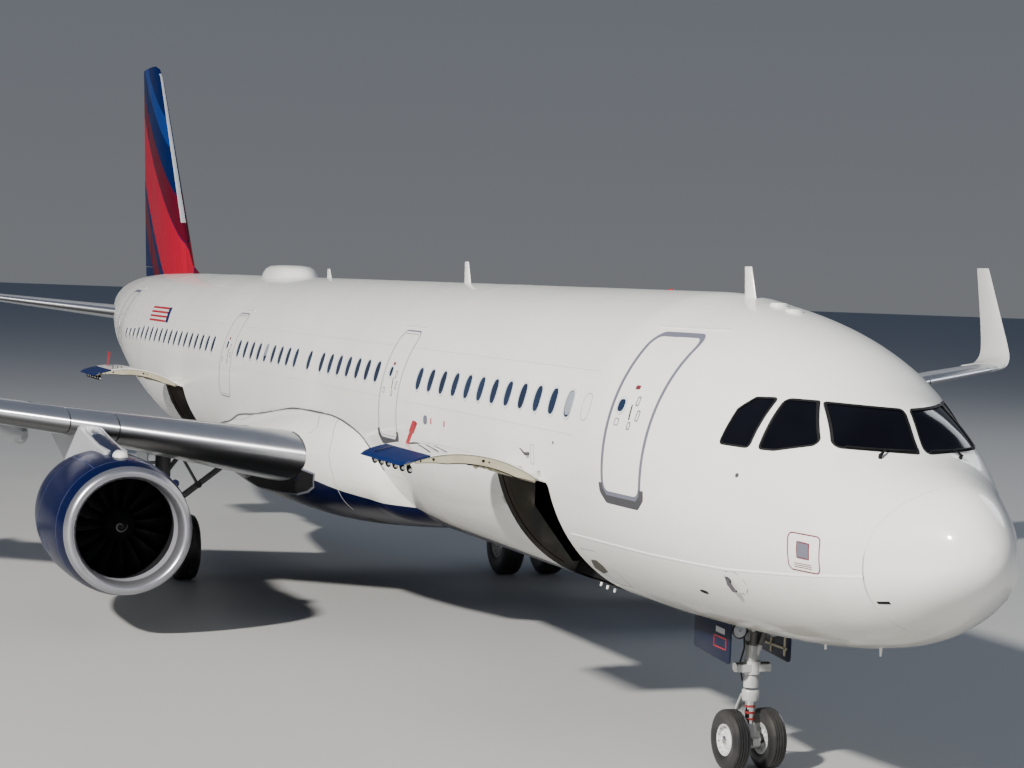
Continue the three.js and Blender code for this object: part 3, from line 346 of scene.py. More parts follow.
def hull_points(s, angle, lift=0.0):
    """Hull points at stations s and angles round the section (0 is port, 90 the crown), raised by lift."""
    s, angle = np.broadcast_arrays(
        np.atleast_1d(np.asarray(s, float)), np.atleast_1d(np.asarray(angle, float))
    )

    def bare(s, angle):
        top, bottom, half, widest = hull_section(s)
        rise = np.where(np.sin(angle) > 0, top - widest, widest - bottom)
        return np.stack([s, half * np.cos(angle), widest + rise * np.sin(angle)], 1)

    points = bare(s, angle)
    if lift:
        step = 0.004
        along = bare(s + step, angle) - bare(np.maximum(s - step, 0), angle)
        around = bare(s, angle + step) - bare(s, angle - step)
        normal = np.cross(around, along)
        normal /= np.linalg.norm(normal, axis=1)[:, None] + 1e-12
        outward = np.sign((normal[:, 1] * np.cos(angle) + normal[:, 2] * np.sin(angle)))
        points = points + lift * normal * outward[:, None]
    return points


def side_angle(s, z, side):
    """The angle of the hull's side at height z: side 1 is port, -1 is starboard."""
    top, bottom, half, widest = hull_section(s)
    rise = np.where(z > widest, top - widest, widest - bottom)
    angle = np.arcsin(np.clip((z - widest) / rise, -1, 1))
    return angle if side > 0 else np.pi - angle


def side_point(s, z, side=-1, lift=0.0):
    """One point of the hull's side, at station s and height z."""
    return hull_points(s, float(side_angle(s, z, side)[0]), lift)[0]


def to_model(points):
    """Real (s, y, z) rows as model points."""
    points = np.asarray(points, float)
    return np.stack([HALF_LENGTH - MODEL * points[:, 0], MODEL * points[:, 1], MODEL * points[:, 2]], 1)


def face_out(piece):
    """Turns a closed mesh's faces outwards."""
    build = bmesh.new()
    build.from_mesh(piece.data)
    bmesh.ops.remove_doubles(build, verts=build.verts, dist=1e-6)
    bmesh.ops.recalc_face_normals(build, faces=build.faces)
    build.to_mesh(piece.data)
    build.free()
    return piece


def loft_piece(name, rings, material=None, smooth=True, hoop=False):
    """A closed mesh through rings of equally many real points, with flat ends or run round to its start."""
    n, count = len(rings[0]), len(rings)
    i = np.arange(n)
    j = (i + 1) % n
    faces = []
    for r in range(count if hoop else count - 1):
        after = (r + 1) % count
        faces += list(np.stack([r * n + i, r * n + j, after * n + j, after * n + i], 1))
    if not hoop:
        faces += [list(i[::-1]), list((count - 1) * n + i)]
    return face_out(mesh_piece(name, to_model(np.concatenate(rings)), faces, material, smooth))


HULL_SIDES = 128


def hull_slice(name, s0, s1, lift=0.0, step=0.35):
    """A closed slice of the hull between two stations."""
    fine = [
        s for s in (0.0004, 0.004, 0.015, 0.035, 0.07, 0.12, 0.2, 0.3, 0.42, 0.56, 0.72, 0.9) if s0 < s < s1
    ]
    even = (*np.arange(0.97, 2.6, 0.06), *np.arange(2.65, 7, 0.15), *np.arange(7, 44.5, step))
    run = [s for s in even if s0 + 0.02 < s < s1 - 0.02]
    stations = sorted([*fine, *run, max(s0, 0.0004), s1])
    angles = 2 * np.pi * np.arange(HULL_SIDES) / HULL_SIDES
    return loft_piece(name, [hull_points(np.full(HULL_SIDES, s), angles, lift) for s in stations])


def side_block(name, s0, s1, z0, z1, corner, grow=0.0, side=-1, depth=(1.2, 3.0)):
    """A block with rounded corners seen from the side, from depth[0] to depth[1] off the middle plane."""
    outline = []
    for cs, cz, start in ((s1 - corner, z1 - corner, 0), (s0 + corner, z1 - corner, 90),
                          (s0 + corner, z0 + corner, 180), (s1 - corner, z0 + corner, 270)):
        for k in range(7):
            a = math.radians(start + 15 * k)
            outline.append((cs + (corner + grow) * math.cos(a), cz + (corner + grow) * math.sin(a)))
    return loft_piece(name, [np.array([(s, side * d, z) for s, z in outline]) for d in depth])


def tube(name, path, radius, material=None, sides=10):
    """A round bar through real points, with one radius or one for each point."""
    path = [Vector(p) for p in path]
    radii = radius if isinstance(radius, (list, tuple, np.ndarray)) else [radius] * len(path)
    rings, normal = [], None
    for i, (p, r) in enumerate(zip(path, radii)):
        run = (path[min(i + 1, len(path) - 1)] - path[max(i - 1, 0)]).normalized()
        if normal is None:
            normal = run.orthogonal().normalized()
        normal = (normal - run * normal.dot(run)).normalized()
        other = run.cross(normal)
        turn = [2 * math.pi * k / sides for k in range(sides)]
        rings.append(np.array([p + (normal * math.cos(a) + other * math.sin(a)) * r for a in turn]))
    piece = loft_piece(name, rings, material)
    piece.data.shade_smooth()
    return sharpen(piece)


def sharpen(piece, degrees=38):
    """Smooth shading that breaks where faces meet at more than this angle."""
    build = bmesh.new()
    build.from_mesh(piece.data)
    for edge in build.edges:
        edge.smooth = len(edge.link_faces) == 2 and edge.calc_face_angle(0) < math.radians(degrees)
    for face in build.faces:
        face.smooth = True
    build.to_mesh(piece.data)
    build.free()
    return piece


def carve(piece, cutters, how="DIFFERENCE"):
    """Cuts, joins or keeps what cutters share with a piece, and leaves a plain mesh."""
    for cutter in cutters:
        step = piece.modifiers.new("carve", "BOOLEAN")
        step.operation, step.solver, step.object = how, "EXACT", cutter
    graph = bpy.context.evaluated_depsgraph_get()
    made = bpy.data.meshes.new_from_object(piece.evaluated_get(graph))
    piece.modifiers.clear()
    piece.data = made
    return piece


def drop(*pieces):
    for piece in pieces:
        bpy.data.objects.remove(piece)


def hull_sizes(co):
    """Model points as real s, y, z, with the hull's half width, widest height and rise from it there."""
    s, y, z = (HALF_LENGTH - co[:, 0]) / MODEL, co[:, 1] / MODEL, co[:, 2] / MODEL
    top, bottom, half, widest = hull_section(s)
    return s, y, z, half, widest, np.where(z > widest, top - widest, widest - bottom)


def hull_normals(piece):
    """Shades the faces that lie on the hull by the hull's own smooth curve, and all others flat."""
    mesh = piece.data
    mesh.shade_smooth()
    co = np.empty(len(mesh.vertices) * 3)
    mesh.vertices.foreach_get("co", co)
    co = co.reshape(-1, 3)
    s, y, z, half, widest, rise = hull_sizes(co)
    angle = np.arctan2((z - widest) / np.maximum(rise, 1e-6), y / np.maximum(half, 1e-6))
    tips = hull_points(s, angle, 0.05) - hull_points(s, angle)
    normal = np.stack([-tips[:, 0], tips[:, 1], tips[:, 2]], 1)
    normal /= np.linalg.norm(normal, axis=1)[:, None] + 1e-12
    normal[s < 0.003] = (1, 0, 0)
    wanted = np.empty((len(mesh.loops), 3))
    for face in mesh.polygons:
        flat = np.array(face.normal)
        for loop in face.loop_indices:
            own = normal[mesh.loops[loop].vertex_index]
            wanted[loop] = own if own @ flat > 0.94 else flat
    mesh.normals_split_custom_set([tuple(n) for n in wanted])
    return piece


def on_hull(piece, within=0.02):
    """Which of a piece's points lie on the hull's outside."""
    co = np.array([v.co for v in piece.data.vertices])
    s, y, z, half, widest, rise = hull_sizes(co)
    share = np.sqrt((y / np.maximum(half, 1e-3)) ** 2 + ((z - widest) / np.maximum(rise, 1e-3)) ** 2)
    return np.abs(1 - share) * np.minimum(half, rise) < within


def dress(piece, node=None, body="airframe"):
    """Hands a finished piece to the frame: the body it rides on, and the node it stands for, which is
    hidden.
    """
    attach(piece, body)
    if node:
        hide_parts(*([node] if isinstance(node, str) else node))
    return piece


# columns: name of the piece, node it stands for, first and last station
SKINS = [
    ("nose_radome", "radome", 0.0, 0.97),
    ("front_fuselage_skin", "fuselage_front", 0.5, 12.899),
    ("centre_fuselage_skin", "fuselage_centre", 12.901, 26.199),
    ("rear_fuselage_skin", "fuselage_rear", 26.201, 38.199),
    ("tail_cone_skin", "tail_cone", 38.201, LENGTH),
]
# The radome's rear edge seen from the side: it leans forward over the top.
RADOME_EDGE = [
    (0.5, 4.4), (0.6, 4.06), (0.7, 3.94), (0.83, 3.78), (0.93, 3.55), (0.98, 3.2), (0.99, 2.8), (0.95, 2.0)
]
# pair number, middle station, width, sill height, top height
CABIN_DOORS = [
    (1, 5.02, 0.9, 3.44, 5.34),
    (2, 13.88, 0.8, 3.44, 5.06),
    (3, 24.74, 0.8, 3.44, 5.06),
    (4, 37.2, 0.88, 3.5, 5.36),
]
DOOR_CORNER, DOOR_SEAM = 0.12, 0.008
# name, stations of the opening, stations of the hold
CARGO_BAYS = [("front", (7.29, 9.11), (6.9, 12.6)), ("rear", (28.8, 30.62), (26.9, 33.4))]
CARGO_SILL, CARGO_TOP, CARGO_CORNER = 1.9, 3.33, 0.08
HOLD = {"floor": 2.06, "ceiling": 3.3, "floor_half": 0.72, "wide_half": 1.33, "wide_z": 2.85}
NOSE_BAY = {"s": (4.55, 5.95), "half": 0.32, "top": 2.75}


def boxed(name, s0, s1, y0, y1, z0, z1):
    ring = [(y0, z0), (y1, z0), (y1, z1), (y0, z1)]
    return loft_piece(name, [np.array([(s, y, z) for y, z in ring]) for s in (s0, s1)], smooth=False)


def hold_block(s0, s1, grow=0.0):
    ring = [
        (HOLD["floor_half"], HOLD["floor"] - grow), (HOLD["wide_half"] + grow, HOLD["wide_z"]),
        (HOLD["wide_half"] + grow, HOLD["ceiling"] + grow),
        (-HOLD["wide_half"] - grow, HOLD["ceiling"] + grow), (-HOLD["wide_half"] - grow, HOLD["wide_z"]),
        (-HOLD["floor_half"], HOLD["floor"] - grow)
    ]
    return loft_piece(
        "hold", [np.array([(s, y, z) for y, z in ring]) for s in (s0 - grow, s1 + grow)], smooth=False
    )


# Cockpit panes on the starboard side. The windscreen is seen from ahead (y, z), the others from the side (s,
# z).
PANES = [
    ("windscreen", "front", [(0.05, 4.265), (0.05, 4.69), (0.74, 4.73), (0.89, 4.3)]),
    ("sliding_window", "side", [(1.95, 4.31), (2.35, 4.735), (2.64, 4.74), (2.58, 4.21), (2.4, 4.21)]),
    ("rear_quarter_window", "side", [(2.73, 4.21), (2.75, 4.74), (2.99, 4.73), (3.12, 4.6), (3.15, 4.22)]),
]


def rounded_outline(corners, radius, grow=0.0, steps=4):
    """A polygon grown outwards and with its corners rounded."""
    pts = [Vector(c) for c in corners]
    turn = sum((pts[i - 1].x * pts[i].y - pts[i].x * pts[i - 1].y) for i in range(len(pts)))
    if turn < 0:
        pts.reverse()
    out = []
    for i, p in enumerate(pts):
        before, after = (p - pts[i - 1]).normalized(), (pts[(i + 1) % len(pts)] - p).normalized()
        normal_in, normal_out = Vector((before.y, -before.x)), Vector((after.y, -after.x))
        half = max(0.2, math.cos(before.angle(after) / 2))
        middle = (normal_in + normal_out).normalized()
        centre = p - middle * (radius / half)
        reach = radius + grow
        sweep = normal_in.angle(normal_out)
        start = math.atan2(normal_in.y, normal_in.x)
        for k in range(steps + 1):
            a = start + sweep * k / steps
            out.append((centre.x + reach * math.cos(a), centre.y + reach * math.sin(a)))
    return out


def pane_block(look, corners, side, grow=0.0, radius=0.035):
    outline = rounded_outline(corners, radius, grow)
    if look == "front":
        rings = [np.array([(s, side * y, z) for y, z in outline]) for s in (0.9, 2.45)]
    else:
        rings = [np.array([(s, side * d, z) for s, z in outline]) for d in (0.45, 2.2)]
    return loft_piece("pane_cutter", rings)


GLASS_SEAL = 0.022
glass_wells = [pane_block(look, corners, side, GLASS_SEAL) for _, look, corners in PANES for side in (1, -1)]
door_wells = {
    row[0]: [
        side_block(
            "well", row[1] - row[2] / 2, row[1] + row[2] / 2, row[3], row[4], DOOR_CORNER, DOOR_SEAM, side
        )
        for side in (1, -1)
    ]
    for row in CABIN_DOORS
}
CARGO_HINGE = (-1.953, 3.375)
hinge_stations = lambda door: [door[0] + share * (door[1] - door[0]) for share in (0.14, 0.5, 0.86)]
cargo_wells = {
    name: [
        side_block("way_in", *door, CARGO_SILL, CARGO_TOP, CARGO_CORNER, 0.014, -1, (0.45, 3.0)),
        hold_block(*hold),
        *(
            tube("hinge_pocket", [(s - 0.066, *CARGO_HINGE), (s + 0.066, *CARGO_HINGE)], 0.105, sides=24)
            for s in hinge_stations(door)
        )
    ]
    for name, door, hold in CARGO_BAYS
}
nose_bay = boxed("nose_bay", *NOSE_BAY["s"], -NOSE_BAY["half"], NOSE_BAY["half"], 1.4, NOSE_BAY["top"])


def radome_block(shift):
    ring = [(s + shift, z) for s, z in RADOME_EDGE] + [(-0.5 + shift, 2.0), (-0.5 + shift, 4.4)]
    return loft_piece("radome_cutter", [np.array([(s, y, z) for s, z in ring]) for y in (-2, 2)])


cuts = {
    "front_fuselage_skin": [
        radome_block(0.003), *glass_wells, *door_wells[1], *cargo_wells["front"], nose_bay
    ],
    "centre_fuselage_skin": [*door_wells[2], *door_wells[3]],
    "rear_fuselage_skin": [*cargo_wells["rear"], *door_wells[4]]
}

# The navy of the belly: its upper edge along the fuselage, as rows of (station, height)
NAVY_LINE = [
    (6.0, 1.6), (7.6, 1.9), (9.2, 1.99), (13.4, 2.06), (14.6, 2.23), (15.1, 2.29), (15.9, 2.34),
    (16.75, 2.42), (18.0, 2.5), (28.0, 2.48), (31.5, 2.2), (34.0, 1.9), (44.5, 1.5)
]
LINE_SCALE = 4  # the ramp holds heights as shares of this


def hull_paint(name):
    """White above and navy below the line, with oily dirt streaks low on the sides and a brownish darkening
    towards the bottom that is partly dirt and partly painted shade.
    """
    material = painted(name, WHITE, dirt=(0.26, 0.22, 0.13), amount=0.08, gloss=0.2, coat=0.35)
    tree = material.node_tree
    shader = shader_of(material)
    wear = next(n for n in tree.nodes if n.type == "GROUP")
    axes = add_node(tree, "ShaderNodeSeparateXYZ", Vector=object_coordinates(tree))
    station = remap(tree, axes.outputs["X"], HALF_LENGTH, -HALF_LENGTH)
    line = tree.nodes.new("ShaderNodeValToRGB")
    line.color_ramp.interpolation = "LINEAR"
    ramp = line.color_ramp.elements
    while len(ramp) < len(NAVY_LINE):
        ramp.new(0.5)
    for stop, (s, z) in zip(ramp, NAVY_LINE):
        stop.position = s / LENGTH
        stop.color = (*[z / LINE_SCALE] * 3, 1)
    tree.links.new(station, line.inputs["Fac"])
    height = add_maths(tree, "MULTIPLY_ADD", line.outputs["Color"], LINE_SCALE * MODEL, 0)
    above = add_maths(tree, "SUBTRACT", axes.outputs["Z"], height)
    edge = remap(tree, above, -0.002, 0.002)
    colours = add_mix(tree, edge, (*NAVY, 1), (*WHITE, 1))
    dirt = add_maths(tree, "MULTIPLY", remap(tree, axes.outputs["Z"], 0.93, 1.3, 0.85, 0.05), edge)
    # Darker towards the bottom: partly oily dirt, partly painted shade of the lower sides.
    grime_and_painted_shade = remap(tree, axes.outputs["Z"], 0.9, 1.45, 0.62, 0.0)
    soiled_and_shaded = add_mix(tree, grime_and_painted_shade, colours, (0.46, 0.43, 0.35, 1), "MULTIPLY")
    feed(tree, wear, {"Paint": soiled_and_shaded, "Dirt Amount": dirt})
    feed(tree, shader, {"Coat Weight": remap(tree, edge, 0, 1, 0.0, 0.5), "Specular IOR Level": 0.08})
    return material


hull_finish = hull_paint("fuselage_paint")
# The hold's lining, and the skin's cut faces that share it, are near black: painted shade of the deep hold.
hold_lining = painted("hold_lining", (0.05, 0.052, 0.05), amount=0.4, gloss=0.5, coat=0)
for name, node, s0, s1 in SKINS:
    skin = hull_slice(name, s0, s1)
    if name == "nose_radome":
        edge_block = radome_block(0)
        carve(skin, [edge_block], "INTERSECT")
        drop(edge_block)
    else:
        carve(skin, cuts.get(name, []))
    hull_normals(skin)
    skin.data.materials.clear()
    for finish in (hull_finish, hold_lining):
        skin.data.materials.append(finish)
    outer = on_hull(skin)
    for face in skin.data.polygons:
        pocket = 3.345 * MODEL < face.center.z < 3.6 * MODEL and face.center.y < -1.84 * MODEL
        face.material_index = 0 if pocket or all(outer[v] for v in face.vertices) else 1
    dress(skin, node)
drop(*{c.name: c for group in cuts.values() for c in group}.values())

# Cockpit windows
# Six panes of thick dark glass in black rubber seals, three a side, with white posts between them. Each
# windscreen has a wiper parked along its lower edge.
def glossy_glass(name, tint, roughness=0.04, coat=1.0):
    """Dark window glass with a faint film of dust that spoils its shine in clouds."""
    material, tree, shader = node_material(name, tint, roughness, coat=coat)
    film = add_node(tree, "ShaderNodeTexNoise", Vector=object_coordinates(tree), Scale=2.5, Detail=4.0)
    dull = remap(tree, film.outputs["Fac"], 0.35, 0.75, roughness, roughness + 0.16)
    shade = remap(tree, film.outputs["Fac"], 0.3, 0.8, 0.8, 1.5)
    feed(tree, shader, {"Roughness": dull, "Base Color": add_mix(tree, 1, (*tint, 1), shade, "MULTIPLY")})
    return material


def join(name, pieces):
    """One object from several, each keeping its materials."""
    mesh = bpy.data.meshes.new(name)
    build = bmesh.new()
    slots = []
    for piece in pieces:
        own = [
            slots.index(m) if m in slots else slots.append(m) or len(slots) - 1 for m in piece.data.materials
        ]
        first = len(build.faces)
        build.from_mesh(piece.data)
        build.faces.ensure_lookup_table()
        for face in build.faces[first:]:
            face.material_index = own[face.material_index] if own else 0
    build.to_mesh(mesh)
    build.free()
    for m in slots:
        mesh.materials.append(m)
    whole = bpy.data.objects.new(name, mesh)
    bpy.context.scene.collection.objects.link(whole)
    drop(*pieces)
    return whole


def finish_with(piece, material):
    piece.data.materials.clear()
    piece.data.materials.append(material)
    for face in piece.data.polygons:
        face.material_index = 0
    return piece


cockpit_glass = glossy_glass("cockpit_glass", (0.003, 0.003, 0.005), 0.05, 0.0)
shader_of(cockpit_glass).inputs["Specular IOR Level"].default_value = 0.25
panes, seals = [], []
for look, corners in [pane[1:] for pane in PANES]:
    for side in (1, -1):
        span = (1.0, 2.6) if look == "front" else (1.7, 3.4)
        pane, hole = hull_slice("pane", *span, -0.008), pane_block(look, corners, side)
        carve(pane, [hole], "INTERSECT")
        panes.append(finish_with(hull_normals(pane), cockpit_glass))
        seal, rim = hull_slice("seal", *span, 0.004), pane_block(look, corners, side, GLASS_SEAL - 0.001)
        back = hull_slice("back", span[0] - 0.1, span[1] + 0.1, -0.05)
        carve(seal, [rim], "INTERSECT")
        carve(seal, [hole, back])
        seals.append(finish_with(hull_normals(seal), seal_black))
        drop(hole, rim, back)
dress(join("cockpit_glass_panes", panes), "cockpit_windows")
dress(join("cockpit_glass_seals", seals))


def front_point(y, z, lift=0.0):
    """The point of the nose behind (y, z) as seen from ahead, raised by lift."""
    low, high = 0.02, 3.4
    for _ in range(40):
        s = (low + high) / 2
        top, bottom, half, widest = (float(v[0]) for v in hull_section(s))
        rise = top - widest if z > widest else widest - bottom
        low, high = (s, high) if (y / half) ** 2 + ((z - widest) / rise) ** 2 > 1 else (low, s)
    top, bottom, half, widest = (float(v[0]) for v in hull_section(high))
    rise = top - widest if z > widest else widest - bottom
    return hull_points(high, math.atan2((z - widest) / rise, y / half), lift)[0]


wipers = []
for side in (1, -1):
    blade = ((0.1, 4.262), (0.26, 4.268), (0.44, 4.275), (0.62, 4.283), (0.8, 4.292))
    wipers.append(tube("blade", [front_point(side * y, z, 0.022) for y, z in blade], 0.011, seal_black, 6))
    arm = ((0.5, 4.2, 0.0), (0.5, 4.205, 0.035), (0.45, 4.24, 0.045), (0.4, 4.273, 0.03))
    arm = [front_point(side * y, z, up) for y, z, up in arm]
    wipers.append(tube("arm", arm, [0.024, 0.02, 0.012, 0.008], seal_black, 8))
dress(join("windscreen_wipers", wipers))

# Cabin windows
# A row of small oval windows runs along each side. Each is a clamped light frame with a dark pane set a
# little back, on the same pitch as the frames of the fuselage, with gaps at the doors.
def repeater():
    """Geometry nodes: a unit stood on every point, turned by the point's own angles, then made real."""
    group = bpy.data.node_groups.new("repeat_unit", "GeometryNodeTree")
    group.is_modifier = True
    for name, kind in (
        ("Geometry", "Geometry"), ("Unit", "Object"), ("Finish", "Material"), ("Size Spread", "Float"),
        ("Seed", "Int")
    ):
        group.interface.new_socket(name=name, in_out="INPUT", socket_type=f"NodeSocket{kind}")
    group.interface.new_socket(name="Geometry", in_out="OUTPUT", socket_type="NodeSocketGeometry")
    given = group.nodes.new("NodeGroupInput").outputs
    unit = add_node(group, "GeometryNodeObjectInfo", Object=given["Unit"])
    turn = group.nodes.new("GeometryNodeInputNamedAttribute")
    turn.data_type = "FLOAT_VECTOR"
    turn.inputs["Name"].default_value = "turn"
    rotation = add_node(group, "FunctionNodeEulerToRotation", Euler=turn.outputs["Attribute"])
    low, high = (add_maths(group, sign, 1, given["Size Spread"]) for sign in ("SUBTRACT", "ADD"))
    size = group.nodes.new("FunctionNodeRandomValue")
    size.data_type = "FLOAT"
    feed(group, size, {2: low, 3: high, "Seed": given["Seed"]})
    stood = add_node(
        group, "GeometryNodeInstanceOnPoints", Points=given["Geometry"], Instance=unit.outputs["Geometry"],
        Rotation=rotation.outputs["Rotation"], Scale=size.outputs[1],
    )
    whole = add_node(group, "GeometryNodeRealizeInstances", Geometry=stood.outputs["Instances"])
    coloured = add_node(
        group, "GeometryNodeSetMaterial", Geometry=whole.outputs["Geometry"], Material=given["Finish"]
    )
    out = group.nodes.new("NodeGroupOutput")
    group.links.new(coloured.outputs["Geometry"], out.inputs["Geometry"])
    return group


repeat_unit = repeater()


def repeated(name, unit, places, material, spread=0.0, seed=7):
    """Copies of a unit mesh at model points, each with its own turn. The unit is used up."""
    points = mesh_piece(name, [p for p, _ in places], [])
    points.data.attributes.new("turn", "FLOAT_VECTOR", "POINT").data.foreach_set(
        "vector", [float(a) for _, t in places for a in t]
    )
    step = points.modifiers.new("repeat", "NODES")
    step.node_group = repeat_unit
    sockets = {i.name: i.identifier for i in repeat_unit.interface.items_tree if i.in_out == "INPUT"}
    for key, value in (("Unit", unit), ("Finish", material), ("Size Spread", spread), ("Seed", seed)):
        step[sockets[key]] = value
    graph = bpy.context.evaluated_depsgraph_get()
    made = bpy.data.meshes.new_from_object(points.evaluated_get(graph))
    points.modifiers.clear()
    points.data = made
    drop(unit)
    return points


def at_origin(unit):
    """Moves a unit drawn about the nose tip to the origin, ready to be repeated."""
    unit.data.transform(Matrix.Translation(-real(0, 0, 0)))
    return unit


def dense(points, gap=0.06, closed=True):
    """A 2-D line with extra points, so that it can follow a curved skin."""
    out, n = [], len(points)
    for i in range(n if closed else n - 1):
        a, b = Vector(points[i]), Vector(points[(i + 1) % n])
        k = max(1, math.ceil((b - a).length / gap))
        out += [tuple(a.lerp(b, j / k)) for j in range(k)]
    if not closed:
        out.append(tuple(points[-1]))
    return np.array(out)


def on_side(line, side, lift):
    return hull_points(line[:, 0], side_angle(line[:, 0], line[:, 1], side), lift)


def ribbon(name, line, width, material, side=-1, lift=0.003, closed=True, gap=0.06, surface=on_side):
    """A thin raised strip that follows a line (s, z) on the side of the hull."""
    line = dense(line, gap, closed)
    ahead, behind = np.roll(line, -1, 0), np.roll(line, 1, 0)
    if not closed:
        ahead[-1], behind[0] = line[-1], line[0]
    run = ahead - behind
    normal = np.stack([run[:, 1], -run[:, 0]], 1) / (np.linalg.norm(run, axis=1)[:, None] + 1e-9) * width / 2
    edges = [surface(line + normal, side, lift), surface(line - normal, side, lift),
             surface(line - normal, side, -0.006), surface(line + normal, side, -0.006)]
    n = len(line)
    faces = [(k * n + i, k * n + (i + 1) % n, (k + 1) % 4 * n + (i + 1) % n, (k + 1) % 4 * n + i)
             for k in range(4) for i in range(n if closed else n - 1)]
    if not closed:
        faces += [(0, n, 2 * n, 3 * n), (n - 1, 4 * n - 1, 3 * n - 1, 2 * n - 1)]
    return sharpen(face_out(mesh_piece(name, to_model(np.concatenate(edges)), faces, material)))


def patch(name, outline, material, side=-1, lift=0.003, surface=on_side):
    """A thin raised plate with this outline (s, z) on the side of the hull."""
    outline = dense(outline, 0.05)
    middle, n = outline.mean(0), len(outline)
    rows = [surface(middle + (outline - middle) * share, side, lift) for share in (1, 0.75, 0.5, 0.25)]
    points = [surface(outline, side, -0.006), *rows, surface(middle[None], side, lift)]
    faces = [
        (k * n + i, k * n + (i + 1) % n, (k + 1) * n + (i + 1) % n, (k + 1) * n + i) for k in range(4)
        for i in range(n)
    ]
    faces += [(4 * n + i, 4 * n + (i + 1) % n, 5 * n) for i in range(n)] + [tuple(range(n))]
    return sharpen(face_out(mesh_piece(name, to_model(np.concatenate(points)), faces, material)))


def oval(s, z, half_s, half_z, count=28, power=0.8):
    """An oval outline, squarer than an ellipse as its power falls below 1."""
    turn = [2 * math.pi * k / count for k in range(count)]
    bend = lambda v: math.copysign(abs(v) ** power, v)
    return [(s + half_s * bend(math.cos(a)), z + half_z * bend(math.sin(a))) for a in turn]


WINDOW_Z, WINDOW_PITCH = 4.412, 0.5334
# first station and number of windows in each run
WINDOW_RUNS = ((6.708, 12), (14.688, 7), (18.685, 1), (19.591, 9), (26.096, 19))
WINDOW_STATIONS = [first + WINDOW_PITCH * i for first, count in WINDOW_RUNS for i in range(count)]
window_frame = painted("window_frame", (0.66, 0.68, 0.70), amount=0.15, gloss=0.35, coat=0.1)
window_glass = glossy_glass("cabin_window_glass", (0.010, 0.019, 0.046), 0.08, 0.0)
blind_white = painted("window_blind", (0.30, 0.33, 0.38), amount=0.1, gloss=0.3, coat=0.6)


def window_parts(s, z, side, glass, half=(0.122, 0.178)):
    """The frame and pane of one window."""
    return (
        ribbon(
            "frame", oval(s, z, half[0] + 0.008, half[1] + 0.008), 0.034, window_frame, side, 0.009, gap=0.03
        ),
        patch("pane", oval(s, z, *half), glass, side, 0.004)
    )


def window_place(s, side):
    """Where a window stands, and its turn, as the cabin narrows aft."""
    here, ahead = (side_point(v, WINDOW_Z, side) for v in (s, s - 0.1))
    yaw = math.atan2(ahead[1] - here[1], 0.1) + (0 if side < 0 else math.pi)
    return real(*here), (0, 0, yaw)


unit_s = 12.0
base = real(*side_point(unit_s, WINDOW_Z))
frame_unit, pane_unit = window_parts(unit_s, WINDOW_Z, -1, window_glass)
for unit in (frame_unit, pane_unit):
    unit.data.transform(Matrix.Translation(-base))
seats = [window_place(s, side) for s in WINDOW_STATIONS for side in (-1, 1)]
dress(repeated("cabin_window_frames", frame_unit, seats, window_frame, 0.004))
dress(repeated("cabin_window_panes", pane_unit, seats, window_glass, 0.004))
# station, side, height of the middle above the window's, half height
BLINDS = (
    (6.708, -1, 0.01, 0.15), (21.72, -1, 0.05, 0.11), (7.775, 1, 0.05, 0.11), (12.04, 1, 0, 0.15),
    (28.2, 1, 0.05, 0.11)
)
blinds = [
    patch("blind", oval(s, WINDOW_Z + up, 0.1, half), blind_white, side, 0.0052)
    for s, side, up, half in BLINDS
]
dress(join("cabin_window_blinds", blinds))

